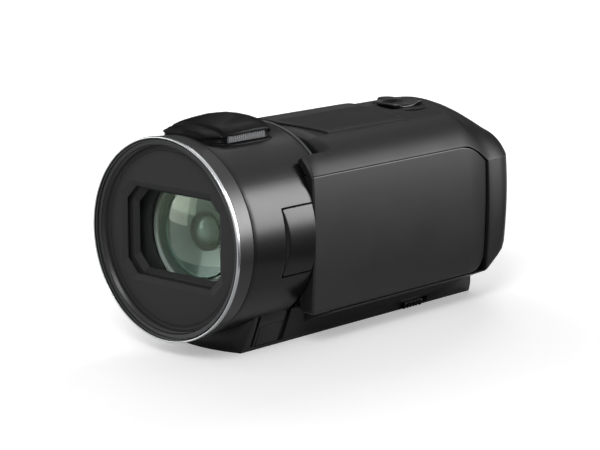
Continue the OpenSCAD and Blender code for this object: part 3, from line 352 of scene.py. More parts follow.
# %% Plastics and paints
FINISH = {
    # lacquered polycarbonate: near mirror-smooth black that shows the softbox as one band
    "black_barrel": surfaced("lacquered_polycarbonate", "#0b0b0c", 0.29, 0.9, 0.003, 0.02,
                             specular=0.23),
    # black anodised aluminium thread ring: satin, slightly lighter on its turned edges
    "black_ring": surfaced("black_anodised_ring", "#121213", 0.34, 0.3, 0.006, specular=0.44),
    # matte moulded ABS of the baffle: flat dark grey, so that it throws no light into the lens
    "baffle_grey": surfaced("matte_baffle_abs", "#2c2c2d", 0.62, 0.4, 0.02, specular=0.12),
    # painted blades, a flocked black inside and glass-filled nylon: dull, so little shines back
    "blade_grey": surfaced("barrier_blade_steel_paint", "#1c1c1d", 0.5, 0.5, 0.01, specular=0.2),
    "inner_black": surfaced("flock_black_abs", "#0a0a0b", 0.7, 0.3, 0.02, specular=0.1),
    "inner_grey": surfaced("glass_filled_nylon", "#3d3e40", 0.5, 0.4, 0.02, specular=0.3),
    # spark-eroded ABS of the body: satin charcoal with a fine even grain
    "case_charcoal": surfaced("spark_eroded_abs", "#121213", 0.4, 0.5, 0.012, specular=0.32),
    # the same plastic from smoother moulds: the top, the keys and the battery's case
    "top_charcoal": surfaced("satin_top_abs", "#171718", 0.42, 0.5, 0.012, specular=0.16),
    "control_black": surfaced("polished_key_abs", "#0f0f10", 0.34, 0.5, 0.006, specular=0.2),
    "battery_black": surfaced("battery_case_polycarbonate", "#161617", 0.48, 0.6, 0.015,
                              specular=0.25),
    # aluminium-coloured paint on the microphone strip: pale and satin
    "grille_grey": surfaced("silver_painted_grille", "#636466", 0.36, 0.3, 0.008, specular=0.35),
}
print(len(FINISH), "plastics and paints")

# %% [markdown]
# A metal's colour is its reflection, so it is fully metallic and keeps the default IOR. How it
# was made sets the rest: a diamond-cut edge is bright, a ground rod and a rolled sheet have
# lines along their length, which a noise drawn out along that axis gives, and a plated can is
# a little cloudy.

# %% Metals
FINISH.update({
    # edge cut with a diamond: bright, softly brushed
    "satin_chrome": surfaced("diamond_cut_aluminium", "#b9bbbd", 0.22, 0.25, 0.006, 0.04, metal=1.0),
    # ground rods: near mirrors with fine lines along their length
    "rod_steel": surfaced("ground_steel_rod", "#b8babd", 0.2, 0.2, 0.004,
                          stretch=(1, 0.05, 1), metal=1.0),
    # turned brass: warm, and a little dulled by grease
    "screw_brass": surfaced("turned_brass", "#b39456", 0.28, 0.3, 0.01, metal=1.0),
    # zinc plating: pale and slightly cloudy
    "motor_can": surfaced("zinc_plated_can", "#a8abad", 0.34, 0.5, 0.01, metal=1.0),
    # rolled sheet: satin, with lines along the rolling direction
    "sheet_metal": surfaced("rolled_steel_sheet", "#a9acad", 0.38, 0.4, 0.01,
                            stretch=(1, 0.06, 1), metal=1.0),
    # a flash of gold over the spring contacts, and nickel over the sockets' shells: bright
    "contact_gold": surfaced("gold_flashed_contact", "#cda557", 0.24, 0.3, 0.004, metal=1.0),
    "socket_steel": surfaced("nickel_plated_shell", "#a6a8aa", 0.28, 0.4, 0.006, metal=1.0),
})
print(len(FINISH), "finishes with the metals")

# %% [markdown]
# The display window is hard-coated glass over a black panel, so it is nearly smooth. The lens
# is clear glass with a green anti-reflection coating and a trace of dust. The boards are green
# solder mask over copper tracks, which a brick pattern gives well enough at this size.

# %% Glass and board
# hard-coated glass over black: nearly a black mirror
FINISH["screen_black"] = surfaced("hard_coated_black_glass", "#050506", 0.1, 2.0, 0.001, 0.02,
                                  specular=0.5)

# ground and polished glass: clear, and its coating takes most of the shine away
glass, tree, shader, place = started("coated_optical_glass", {
    "Base Color": linear("#eef8f2"), "Roughness": 0.01, "IOR": 1.5, "Transmission Weight": 1.0,
    "Specular IOR Level": 0.28, "Specular Tint": linear("#c4d6b8")})
speck = add_node(tree, "ShaderNodeTexNoise", {"Scale": 900.0, "Detail": 2.0}, Vector=place)
dust = add_node(tree, "ShaderNodeMapRange", {"From Min": 0.68, "From Max": 0.8, "To Min": 0.0,
                "To Max": 0.06}, Value=speck.outputs["Fac"])
tree.links.new(dust.outputs["Result"], shader.inputs["Roughness"])
FINISH["coated_glass"] = glass

# solder mask is a glossy green lacquer, paler where copper lies under it
board, tree, shader, place = started("green_solder_mask", {"Roughness": 0.4, "Specular IOR Level": 0.5})
tracks = add_node(tree, "ShaderNodeTexBrick", {"Scale": 260.0, "Mortar Size": 0.06, "offset": 0.35,
                  "Color1": linear("#1c4a30"), "Color2": linear("#215438"), "Mortar": linear("#3d7a4e")},
                  Vector=place)
tree.links.new(tracks.outputs["Color"], shader.inputs["Base Color"])
FINISH["circuit_board"] = board
print(len(FINISH), "finishes with glass and board")

# %% [markdown]
# The strap is woven nylon and its pad is a laminated cloth: threads cross over and under, which
# the product of two crossed waves gives. The webbing's threads lie 0.9 mm apart and the cloth's
# 0.7 mm, which is somewhat coarser than a fine cloth, so that they show. The wave node's own
# period is 2 pi / (20 scale), so its scale is worked out from the thread's distance.

# %% Webbing and pad cloth
def woven(name, low, high, thread_mm, depth, rough):
    """Plain weave: the product of two sine waves, one thread apart along y and z, lifts the
    threads in turn; the high threads are painted paler and the crossings darker, as painted sheen and shade."""
    made, tree, shader, place = started(name, {"Specular IOR Level": 0.25, "Sheen Weight": 0.25,
                                               "Roughness": rough})
    scale = 2 * math.pi * 1000 / thread_mm / 20
    waves = []
    for axis in ("Y", "Z"):
        wave = add_node(tree, "ShaderNodeTexWave", {"bands_direction": axis, "Distortion": 0.4,
                                                    "Detail": 1.0, "Scale": scale}, Vector=place)
        waves.append(wave.outputs["Fac"])
    lift = add_node(tree, "ShaderNodeMath", {"operation": "MULTIPLY"}, _0=waves[0], _1=waves[1])
    # painted sheen and shade: the lift of the threads also pales their tops and darkens the crossings between
    # them
    tint = add_node(tree, "ShaderNodeMix", {"data_type": "RGBA", 6: linear(low), 7: linear(high)},
                    _0=lift.outputs[0])
    tree.links.new(tint.outputs[2], shader.inputs["Base Color"])
    bump = add_node(tree, "ShaderNodeBump", {"Strength": 0.8, "Distance": depth / 1000},
                    Height=lift.outputs[0])
    tree.links.new(bump.outputs["Normal"], shader.inputs["Normal"])
    return made


FINISH["strap_webbing"] = woven("woven_nylon_webbing", "#0c0c0d", "#2a2a2b", 0.9, 0.25, 0.75)
FINISH["pad_cloth"] = woven("laminated_pad_cloth", "#161617", "#2d2d2e", 0.7, 0.3, 0.8)
print(len(FINISH), "finishes with the cloths")

# %% [markdown]
# The solids of the frame are the inner pieces as they are machined, pressed or moulded. Their
# meshes are left alone. Each names a material slot, and that slot gets its finish here, so a
# piece that nothing covers later already looks right when a door or the screen is open.

# %% Every solid of the frame gets its finish
for subpart in frame["record"]["subparts"]:
    mesh = frame["nodes"][subpart["node"]].data
    if not mesh.materials:
        mesh.materials.append(None)
    for place in frame["nodes"][subpart["node"]].material_slots:
        place.material = FINISH[subpart["material_slot"]]

# %% [markdown]
# The front starts with two turned rings: a bright diamond-cut edge, and behind it the black
# ring that carries the filter thread. A turned part is its profile carried round the axis, so
# one small profile gives every groove exactly. The thread's grooves are rings, not a helix,
# because nobody can tell at this pitch.

# %% Front rings
RIM_W, BARREL_R, BARREL_END = 0.55, RING_R - 0.5, 48.0


def arc_points(centre, r, start, end, steps=6):
    """Points on an arc about centre from angle start to end, in degrees."""
    a = np.radians(np.linspace(start, end, steps))
    return np.column_stack([centre[0] + r * np.cos(a), centre[1] + r * np.sin(a)])


edge_profile = np.vstack([[[RING_R - RIM_W, 1.2], [RING_R - RIM_W, 0.25]],
                          arc_points((RING_R - 0.35, 0.2), 0.2, 180, 270, 4),
                          arc_points((RING_R - 0.3, 0.3), 0.3, 270, 360, 5), [[RING_R, 1.2]]])
trim = lathe("trim_edge", edge_profile, "housing", FINISH["satin_chrome"], 320)
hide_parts("trim_ring")

# thread: a saw of 0.75 mm pitch and 0.35 mm depth between the lip and the baffle's seat
pitch = np.arange(1.1, 3.1, 0.375)
thread = np.column_stack([np.where(np.arange(len(pitch)) % 2, 31.35, 31.0), pitch])
lip = [[RING_R, 1.2], [RING_R - RIM_W, 1.2], [RING_R - RIM_W, 0.8], [33.05, 1.0]]
groove = arc_points((32.75, 0.72), 0.22, 0, -180, 6)
lead_in = [[32.45, 1.05], [31.4, 1.2], [31.15, 1.0]]
seat = [[31.0, 3.4], [31.6, 3.4], [31.6, 8.0], [BARREL_R - 0.25, 8.0]]
outside = [[BARREL_R - 0.2, 7.85], [BARREL_R, 7.7], [RING_R - 0.35, 6.0], [RING_R - 0.05, 1.6]]
ring_profile = np.vstack([lip, groove, lead_in, thread + [0.0, 0.2], seat, outside])
ring = lathe("filter_thread_ring", ring_profile, "housing", FINISH["black_ring"], 256)
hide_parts("filter_ring")
print("front rings made, thread grooves:", len(pitch) // 2)

# %% [markdown]
# The baffle is a shallow dish with a lens window cut at its centre. Its eight-sided window
# has a moulded chamfer that steps back towards the blades. The dish is a set of rings: the
# outer ones are circles, and inside them each point slides from the circle to the window.
# Behind it a plate of the same kind and two rails hold the four blades of the lens barrier.

# %% Baffle and barrier frame
def window(grow=0.0, steps=10):
    """Eight-sided window, corners cut at 45 degrees, with steps points along each side."""
    w, up, down, c = 21.7 + grow, 15.2 + grow, 14.4 + grow, 4.6
    p = np.array([[w, up - c], [w - c, up], [c - w, up], [-w, up - c],
                  [-w, c - down], [c - w, -down], [w - c, -down], [w, c - down]])
    t = np.linspace(0, 1, steps, endpoint=False)[None, :, None]
    return (p[:, None] * (1 - t) + np.roll(p, -1, 0)[:, None] * t).reshape(-1, 2)


def window_plate(name, radius, front, thick, chamfer, opening, collar, finish, dish=0.0, step=0.0):
    """A round plate whose rings blend from circles to the window: (1 - t) circle + t window.
    A chamfer leads down to the opening over the depth collar, step sinks a rim ring, and the
    front is dished by dish (r / radius) ^ 2."""
    inner = window(opening)
    turn = np.arctan2(inner[:, 1], inner[:, 0])
    circle = np.column_stack([np.cos(turn), np.sin(turn)])
    lip = window(opening + chamfer)
    rings, places, rim = [], [], 29.2

    def add(flat, depth):
        rings.append(flat)
        places.append(depth + dish * (np.linalg.norm(flat, axis=1) / radius) ** 2)

    for r, sunk in ((radius, 0), (30.2, 0), (29.9, step), (rim, step), (rim - 0.3, 0)):
        add(circle * r, front + sunk)
    for t in (0.35, 0.7, 1.0):
        add(circle * (rim - 0.3) * (1 - t) + lip * t, front)
    add(window(opening + chamfer - 0.2), front + 0.1)
    add(window(opening + 0.15), front + collar - 0.25)
    add(inner, front + collar)
    add(inner, front + collar + 0.15)
    add(window(opening + 0.5), front + collar + 0.15)
    add(window(opening + chamfer + 0.4), front + thick)
    add(circle * radius, front + thick)
    flat = np.array(rings)
    points = np.stack([flat[..., 0], np.array(places), flat[..., 1]], -1)
    return piece(name, points, grid_faces(len(rings), len(inner), True, True), "housing", finish, 14)


baffle = window_plate("baffle", 31.4, 3.2, 0.9, 1.9, 0.0, 1.12, FINISH["baffle_grey"], 0.5, 0.14)
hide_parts("baffle_plate")
frame_plate = window_plate("barrier_mount", 31.4, 6.9, 1.1, 1.5, -1.6, 1.6, FINISH["baffle_grey"])
RAIL_X, RAIL_HALF_W, RAIL_HALF_H = 25.75, 1.75, 12
for side, label in ((-1, "grip"), (1, "screen")):
    near_x, far_x = side * RAIL_X - RAIL_HALF_W, side * RAIL_X + RAIL_HALF_W
    corners = [[near_x, -RAIL_HALF_H], [far_x, -RAIL_HALF_H], [far_x, RAIL_HALF_H], [near_x, RAIL_HALF_H]]
    rail = slab("blade_rail_" + label, rounded(corners, 0.4, 3), 4.65, 7.0, "xzd", "housing",
                FINISH["inner_black"], 0.2)
    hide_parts("barrier_frame")
for blade in ("upper_blade", "upper_follower", "lower_blade", "lower_follower"):
    softened(blade, FINISH["blade_grey"], 0.12)
print("baffle window", np.ptp(window(), axis=0).round(1), "mm")

# %% [markdown]
# The barrel is a tube with a corner taken out for the folded screen and a pocket for its
# hinge. On a grid of angle and depth each opening is a block of cells left out, and a wall is
# then given to what stays.

# %% Barrel
def between(values, *exact):
    """Sorted values with the exact ones added, so that an opening's edge lies on the grid."""
    return np.unique(np.round(np.concatenate([values, exact]), 6))


def barrel_skin():
    """x = r cos a, z = r sin a over angle and depth, without the cells inside an opening."""
    cut_x, cut_low, cut_top, pocket_half = 20.2, -27.4, 19.7, 11.6
    pocket_d, corner_d = 22.6, 37.2
    low = max(math.degrees(math.asin(cut_low / BARREL_R)),
              -math.degrees(math.acos(cut_x / BARREL_R)))
    high = math.degrees(math.asin(cut_top / BARREL_R))
    pocket = math.degrees(math.asin(pocket_half / BARREL_R))
    a = between(np.arange(-180, 180, 1.5), low, high, -pocket, pocket)[:-1]
    a = a[a < 179.9]
    d = between(np.linspace(8, BARREL_END, 21), 8.12, pocket_d, corner_d)
    r = np.where(d[None, :] < 8.05, BARREL_R - 0.18, BARREL_R) + 0 * a[:, None]
    aa, dd = np.radians(a)[:, None], np.broadcast_to(d[None, :], r.shape)
    points = np.stack([r * np.cos(aa), dd, r * np.sin(aa)], -1)
    mid_a = np.append((a[:-1] + a[1:]) / 2, 180.0)[:, None]
    mid_d = ((d[:-1] + d[1:]) / 2)[None, :]
    panel = (mid_a > low) & (mid_a < high) & (mid_d > corner_d)
    hinge = (abs(mid_a) < pocket) & (mid_d > pocket_d)
    return points, grid_faces(len(a), len(d), True, False, ~(panel | hinge)), (low, high, pocket)


points, faces, barrel_cuts = barrel_skin()
barrel = piece("lens_barrel", points, faces.tolist(), "housing", FINISH["black_barrel"], closed=False)
finished(barrel, ("SOLIDIFY", {"thickness": 0.0019, "offset": -1.0, "use_even_offset": True}),
         bevelled(0.2, 50))
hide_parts("barrel_shell")
print("barrel openings at angles", np.round(barrel_cuts, 1))

# %% [markdown]
# Behind the window sits the front lens, a glass meniscus: both its faces bulge forward. A lens
# is ground to parts of spheres, so its profile is two arcs. The glass is really clear here.

# %% Front lens
def dome(r_top, r_curve, front, steps=14):
    """Profile of a convex cap: depth = front + R - sqrt(R^2 - r^2)."""
    r = np.linspace(0, r_top, steps)
    return np.column_stack([r, front + r_curve - np.sqrt(r_curve ** 2 - r ** 2)])


LENS_R, OFF_AXIS = 21.0, [[1e-4, 0]]
front = dome(LENS_R, 45.0, 9.6)
back = dome(LENS_R, 60.0, 13.6)[::-1]
glass_skin = lathe("front_element", np.vstack([front + OFF_AXIS, back + OFF_AXIS]), "housing",
                   FINISH["coated_glass"], 160)
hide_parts("front_lens")
print("front element", len(front), "rings,", 2 * LENS_R, "mm across")

# %% [markdown]
# Looked at from the side, the coating and the lenses behind throw back nested green ovals,
# and warmer ones towards the top of the grip side. A real stack of lenses needs many light
# paths, so the stack here is one stepped piece and those reflections are painted into its
# colour: a ramp over the distance from the axis, sqrt(x^2 + z^2), gives the coating's green
# with painted reflections in rings, and a painted amber reflection lies where z - x is large.

# %% Coating and painted reflections of the inner elements
# coated glass seen against a black tube: the coating's green gloss, with painted reflections as pale rings in
# its colour
coating_and_painted_reflections, tree, shader, place = started("multicoated_element_painted_reflections", {
    "Roughness": 0.2, "IOR": 1.6, "Specular IOR Level": 0.6, "Specular Tint": linear("#bfd6ca"),
    "Transmission Weight": 0.1, "Coat Weight": 0.25, "Coat Roughness": 0.12})
STACK_R = 18.6
centred = add_node(tree, "ShaderNodeMapping", {"Location": (0, 0, -AXIS_UP / 1000),
                                               "Scale": (1, 0, 1)}, Vector=place)
reach = add_node(tree, "ShaderNodeVectorMath", {"operation": "LENGTH"}, _0=centred.outputs["Vector"])
share = add_node(tree, "ShaderNodeMath", {"operation": "MULTIPLY", 1: 1000 / STACK_R},
                 _0=reach.outputs["Value"])
coating_and_painted_rings = add_node(tree, "ShaderNodeValToRGB", {}, Fac=share.outputs[0])
marks = coating_and_painted_rings.color_ramp.elements
# stops of the ramp: the coating's green, with pale painted reflections at the centre and at 0.78 of the
# radius, and dark painted bands between the rings
for stop, code in ((0.0, "#78887f"), (0.29, "#5c6a63"), (0.33, "#2e3a34"), (0.45, "#3b4943"),
                   (0.74, "#4a5b53"), (0.78, "#859a8f"), (0.80, "#2d3731"), (0.93, "#51574b"),
                   (1.0, "#22261f")):
    mark = marks.new(stop) if stop not in (0.0, 1.0) else marks[int(stop)]
    mark.color = linear(code)
# painted amber reflection: where z - x grows from 8 to 30 mm, towards the top of the grip side, the colour
# turns amber
warm = add_node(tree, "ShaderNodeSeparateXYZ", {}, Vector=centred.outputs["Vector"])
tilt = add_node(tree, "ShaderNodeMath", {"operation": "SUBTRACT"}, _0=warm.outputs["Z"], _1=warm.outputs["X"])
painted_amber_share = add_node(tree, "ShaderNodeMapRange", {"From Min": 0.008, "From Max": 0.03}, Value=tilt.outputs[0])
mixed = add_node(tree, "ShaderNodeMix", {"data_type": "RGBA", 7: linear("#77755f")}, _0=painted_amber_share.outputs[0],
                 _6=coating_and_painted_rings.outputs["Color"])
tree.links.new(mixed.outputs[2], shader.inputs["Base Color"])
print("coating rings", len(marks))

# %% [markdown]
# The stack is turned like the rings: an outer cone, a lip, a hollow middle element, a lip
# and a small dome at the centre. Each step throws the lamps back at another size.

# %% Inner elements and their retainer
MIDDLE_CURVE = 45.0
mid_r = np.linspace(14.4, 6.3, 14)
mid = np.column_stack([mid_r, 20.4 - (MIDDLE_CURVE - np.sqrt(MIDDLE_CURVE ** 2 - mid_r ** 2))])
cone = [[19.8, 17.6], [19.8, 16.9], [18.6, 16.75], [18.45, 16.95], [18.2, 17.1], [15.0, 18.0]]
last = dome(5.9, 9.0, 18.3, 12)[::-1] + OFF_AXIS
stack = np.vstack([cone, [[14.9, 17.7], [14.6, 17.6]], mid, [[6.2, 19.4], [6.0, 19.3]], last,
                   [[1e-4, 23.0], [15.2, 19.6]]])
lathe("inner_element_stack", stack, "housing", coating_and_painted_reflections, 160, sharp=30)
# blackened brass ring that holds the front lens: dull, with a faint green cast painted into its colour as a
# reflection of the coating
retainer_painted_green_cast = surfaced("matte_retainer_ring", "#2b2f2d", 0.55, 0.4, 0.01, specular=0.3)
frame["nodes"]["lens_retainer"].material_slots[0].material = retainer_painted_green_cast
print("stack profile", len(stack), "points")

# %% [markdown]
# The body is one long form cut into covers: a flat screen side, a bevel that rises to a
# crease, a shallow roof, and a round grip side. Every cover is a strip of the same section,
# so the section is written once, as points round the body at any depth, and each cover takes
# its stretch of it. Curves are quadratic ones: (1-t)^2 a + 2t(1-t) b + t^2 c. Towards the rear
# the roof and the crease fall away and the bottom rises, and at the front the shoulder is
# chamfered.

# %% The body's section
SIDE_X, GRIP_X, ROOF, LOW, FOOT_X = 31.0, 32.5, 32.8, 33.0, 18.25
CREASE_X, CREASE_Z, BEVEL_Z, CROWN = 20.0, 30.1, 19.7, 0.9
FRONT_D, BLOCK_D, REAR_D, WALL = 48.0, 131.0, 147.0, 1.8
FALL_D, FALL, REAR_RISE = 122.5, 9.5, 11
SHOULDER_IN, SHOULDER_LONG = 1.4, 1.5


def bend(a, b, c, steps, start=0):
    """Quadratic curve from a to c with the control point b, at steps + 1 values of t."""
    t = np.linspace(0, 1, steps + 1)[start:, None]
    return (1 - t) ** 2 * np.array(a) + 2 * t * (1 - t) * np.array(b) + t ** 2 * np.array(c)


def bevel_at(d):
    """Height of the bevel's lower edge: level, then down by 6.9 mm from depth 117.5 to 131."""
    return BEVEL_Z - 6.9 * np.clip((np.asarray(d, float) - 117.5) / 13.5, 0, 1) ** 1.6


def section(d, inset=0.0, fine=16):
    """The body's outline at depth d as named runs of (x, z), drawn in by inset mm.
    With u the share of the way from FALL_D to the rear, the crease falls by FALL u^0.75 and
    the roof by FALL u^2.8. Each run is scaled towards the axis by 1 - inset / half width
    across and 1 - inset / half height up. The shoulder's chamfer adds SHOULDER_IN at the front
    edge, shrinking to nothing over SHOULDER_LONG, on the roof, round and grip runs and on the
    bevel's upper half. Over the last 8 mm the whole outline narrows by up to 14 %."""
    u = max(0.0, (d - FALL_D) / (REAR_D - FALL_D))
    low = REAR_RISE * max(0.0, (d - BLOCK_D) / (REAR_D - BLOCK_D)) - LOW
    edge = float(bevel_at(d))
    crease = np.array([CREASE_X, CREASE_Z - FALL * u ** 0.75])
    top = ROOF - FALL * u ** 2.8
    corner = low + 0.375 * (SIDE_X - FOOT_X) + 0.8
    t = np.linspace(0, 1, fine + 1)
    runs = {
        "low": np.linspace([FOOT_X, low], [SIDE_X, corner], 4),
        "side": np.column_stack([SIDE_X + CROWN * (1 - (2 * t - 1) ** 2),
                                 corner + t * (edge - corner)]),
        "bevel": bend([SIDE_X, edge], [27.5, 0.35 * edge + 0.68 * crease[1]], crease, fine),
        "roof": bend(crease, [8, top - 0.1], [-5, top], fine),
        "round": bend([-5, top], [-27, top - 1.5], [-GRIP_X, -2], 2 * fine),
        "grip": bend([-GRIP_X, -2], [-GRIP_X, low + 8], [-FOOT_X, low], 2 * fine),
    }
    wide = 1 - 0.14 * max(0.0, (d - 139) / 8) ** 1.5
    lead = SHOULDER_IN * max(0.0, 1 - (d - FRONT_D) / SHOULDER_LONG)
    upper = np.clip((np.linspace(0, 1, fine + 1) - 0.46) / 0.05, 0, 1)
    out = {}
    for key, run in runs.items():
        if key == "bevel":
            # the wing goes on from the lower half, so near the front its rim isn't rounded
            i = (inset if inset > 1 or d > 60 else inset * upper) + lead * upper
        else:
            i = inset + (lead if key in ("roof", "round", "grip") else 0)
        i = np.broadcast_to(i, len(run))
        out[key] = run * np.column_stack([wide * (1 - i / SIDE_X), 1 - i / LOW])
    return out


print("section at mid body:", {key: run.shape[0] for key, run in section(90).items()})

# %% [markdown]
# A cover is a thin moulded wall. Carrying a closed ring, the outer strip out and the inner one
# back, along the depth gives wall and ends in one grid. At both ends the strip draws in over
# a quarter circle, as a mould's edge does, and the depths are crowded there to show it.

# %% Walls of the covers


def depths(start, end, edge=0.4, step=2.5):
    """Depths between start and end, crowded at both ends for the rounded rims."""
    e = edge * (1 - np.cos(np.linspace(0, math.pi / 2, 4)))
    middle = np.linspace(start + edge, end - edge, max(3, int((end - start) / step)))
    return np.unique(np.round(np.concatenate([start + e, middle, end - e]), 4))


def rim_inset(d, start, end, edge):
    """Quarter-circle inset at both ends: e - sqrt(e^2 - (e - s)^2), s the way from the end."""
    s = np.clip(min(d - start, end - d), 0, edge)
    return edge - math.sqrt(max(edge ** 2 - (edge - s) ** 2, 0))


def standing(rings, ds):
    """Rings of (x, z), one for each depth, as a grid of (x, d, z)."""
    flat = np.array(rings)
    return np.stack([flat[..., 0], np.repeat(ds[:, None], flat.shape[1], 1), flat[..., 1]], -1)


def cover(name, start, end, strip, edge=0.35):
    """A closed wall: outer strip of the section out, inner strip back, carried along the depth."""
    ds = depths(start, end, edge)
    rings = [np.vstack([strip(section(d, rim_inset(d, start, end, edge))),
                        strip(section(d, WALL))[::-1]]) for d in ds]
    points = standing(rings, ds)
    made = piece(name, points, tube_faces(points), "housing", FINISH["case_charcoal"], 26)
    return finished(made, bevelled(0.3, 50), sharp=26)


def crisp(obj, chosen):
    """Marks edges sharp whose two ends both satisfy chosen(x, d, z), in lens-frame mm."""
    mesh = obj.data
    co = np.empty(len(mesh.vertices) * 3)
    mesh.vertices.foreach_get("co", co)
    x, d, z = (co.reshape(-1, 3) * 1000 - [0.0, FRONT, AXIS_UP]).T
    hit = chosen(x, d, z)
    ends = np.empty(len(mesh.edges) * 2, int)
    mesh.edges.foreach_get("vertices", ends)
    attribute = mesh.attributes.get("sharp_edge") or mesh.attributes.new("sharp_edge", "BOOLEAN", "EDGE")
    flags = np.empty(len(mesh.edges), bool)
    attribute.data.foreach_get("value", flags)
    flags |= hit[ends.reshape(-1, 2)].all(1)
    attribute.data.foreach_set("value", flags)
    return int(hit.sum())


print("depths along a cover:", len(depths(FRONT_D, REAR_D)))

# %% [markdown]
# The top cover runs from the bevel's lower edge over the crease and the roof to a seam on
# the grip side. Its bevel overhangs the folded screen as a ledge.

# %% Top cover
SEAM, LEDGE_X = 20, 18.4


def top_wall(edge=0.35):
    """The cover's closed ring: ledge, bevel, roof and the round run as far as point SEAM, then
    back along the inner strip above the ledge."""
    rings, ds = [], depths(FRONT_D, REAR_D, edge)
    for d in ds:
        run, inner = section(d, rim_inset(d, FRONT_D, REAR_D, edge)), section(d, WALL)
        under = [[LEDGE_X, run["bevel"][0, 1]]]
        above = [[LEDGE_X, float(bevel_at(d)) + WALL]]
        out = [run["bevel"], run["roof"][1:], run["round"][1:SEAM + 1]]
        back = np.vstack([inner["bevel"][3:], inner["roof"][1:], inner["round"][1:SEAM + 1]])[::-1]
        rings.append(np.vstack([under, *out, back, above]))
    return standing(rings, ds)


wall = top_wall()
top = piece("top_case_cover", wall, tube_faces(wall), "housing", FINISH["top_charcoal"], 26)
print("top cover grid", wall.shape[:2])

# %% [markdown]
# The cover has a round well for the zoom key, a hole for the photo button and a channel at the
# rear that the battery slides into. A straight-walled tool takes each one out, as a core pin
# in the mould would. Last, the rims are rounded, and the crease is marked to stay crisp.

# %% Openings of the top cover
def cut(obj, name, outline, low, high, order):
    """Takes a straight-walled pocket out of a piece: the outline is carried from low to high."""
    rings = np.array([np.column_stack([outline, np.full(len(outline), h)]) for h in (low, high)])
    rings = arranged(rings, order)
    tool = piece(name, rings, tube_faces(rings), "housing", FINISH["inner_black"])
    finished(obj, ("BOOLEAN", {"object": tool, "operation": "DIFFERENCE", "solver": "EXACT"}))
    bpy.data.objects.remove(tool)


def circle(x, y, r, around=64):
    """Points round a circle."""
    a = np.linspace(0, 2 * math.pi, around, endpoint=False)
    return np.column_stack([x + r * np.cos(a), y + r * np.sin(a)])


def rectangle(x0, y0, x1, y1):
    """The four corners of a rectangle, anticlockwise."""
    return [[x0, y0], [x1, y0], [x1, y1], [x0, y1]]


def on_crease(x, d, z):
    """True where a point lies within 0.02 mm of the section's crease at its own depth."""
    crease = np.array([section(depth)["roof"][0] for depth in d])
    return abs(x - crease[:, 0]) + abs(z - crease[:, 1]) < 0.02


ZOOM, PHOTO = (4.0, 113.5), (-9.5, 122.5)
BAY_GRIP, BAY_SCREEN, BAY_D = -14.2, 15.2, 140.0
cut(top, "zoom_well", circle(*ZOOM, 9.6), 31.7, 40, "xdz")
cut(top, "photo_hole", circle(*PHOTO, 3.75), 20, 40, "xdz")
cut(top, "battery_channel", rectangle(BAY_GRIP, BAY_D, BAY_SCREEN, 160.0), -60, 60, "xdz")
finished(top, bevelled(0.28, 50), sharp=26)
print("crease points", crisp(top, on_crease))
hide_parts("top_cover")

# %% [markdown]
# A bulkhead closes the body behind the barrel. It is a flat ring between the section and a
# circle, so each point of the outline is joined to the circle's point at the same angle.

# %% Bulkhead
def outline(run):
    """The section's runs as one closed outline, without the point that two runs share."""
    parts = [run[key][:-1] for key in ("low", "side", "bevel", "roof", "round")]
    return np.vstack([*parts, run["grip"]])


def bulkhead(name, depth, thick, inset, hole):
    """Ring plate: outer outline forward and back, then the circle hole (cos a, sin a)."""
    outer = outline(section(depth, inset))
    turn = np.arctan2(outer[:, 1], outer[:, 0])
    inner = hole * np.column_stack([np.cos(turn), np.sin(turn)])
    points = standing([outer, outer, inner, inner],
                      np.array([depth, depth + thick, depth + thick, depth]))
    return piece(name, points, grid_faces(4, len(outer), True, True), "housing",
                 FINISH["case_charcoal"])


bulkhead("front_bulkhead", 48.6, 1.4, 1.9, 18.5)
print("front bulkhead made")

# %% [markdown]
# Grip side and rear cover are two more stretches of the same section. A gap of 0.12 mm stays
# between them, as two mouldings never quite touch, and it draws the seam round the body.

# %% Grip case and rear cover
def grip_strip(run):
    """From the seam round the grip side to the foot."""
    return np.vstack([run["round"][SEAM:], run["grip"][1:]])


def rear_strip(run):
    """From the seam round the grip side, under the body and up the screen side to the bevel."""
    return np.vstack([grip_strip(run), run["low"], run["side"][1:]])


grip = cover("grip_side_case", FRONT_D, BLOCK_D - 0.12, grip_strip)
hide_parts("grip_case")
rear = cover("rear_block_case", BLOCK_D, REAR_D, rear_strip, edge=0.5)
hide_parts("rear_cover")
print("covers:", len(grip.data.polygons), len(rear.data.polygons), "faces")

# %% [markdown]
# The rear block is closed by a wall in front, which shows in the gap behind the folded screen,
# and an end plate at the back. The end plate is open for the battery, which stands in a bay
# of four thin walls.

# %% Rear block
def case_wall(name, flat, low, high, order, edge):
    """A slab in the body's plastic: the flat outline is carried from low to high."""
    return slab(name, np.array(flat), low, high, order, "housing", FINISH["case_charcoal"], edge)


rim = section(BLOCK_D + 2, 0.8)
inner_edge = [[LEDGE_X, rim["side"][-1, 1]], [LEDGE_X, rim["low"][0, 1]]]
case_wall("rear_block_front_wall", np.vstack([rim["low"], rim["side"][1:], inner_edge]),
          BLOCK_D + 0.05, BLOCK_D + 2, "xzd", 0.1)
end_plate = case_wall("rear_end_plate", outline(section(REAR_D, 0.9)), REAR_D - 1.8, REAR_D - 0.2,
                      "xzd", 0.1)
cut(end_plate, "battery_opening", rectangle(BAY_GRIP, -18.8, BAY_SCREEN, 60), 130, 160, "xzd")
for label, (x0, d0, z0), (x1, d1, z1) in (
        ("grip", (-15.6, 138.6, -19.9), (BAY_GRIP, 146.6, 22.0)),
        ("screen", (BAY_SCREEN, 138.6, -19.9), (16.6, 146.6, 11.0)),
        ("floor", (-14.3, 138.6, -19.9), (15.3, BAY_D, 21.5)),
        ("ledge", (-14.3, 139.9, -20.2), (15.3, 146.6, -18.8))):
    case_wall("battery_bay_" + label, rectangle(x0, d0, x1, d1), z0, z1, "xdz", 0.15)
print("rear block closed")

# %% [markdown]
# Several pieces are best described by two sheets, an outside and an inside, on grids of the
# same size: the screen's tray, the hinge's knuckle, the roof plate and the hand pad. One
# helper joins the two sheets round their rims. Two more round a rim by the fall of a quarter
# circle and crowd a grid's lines there.

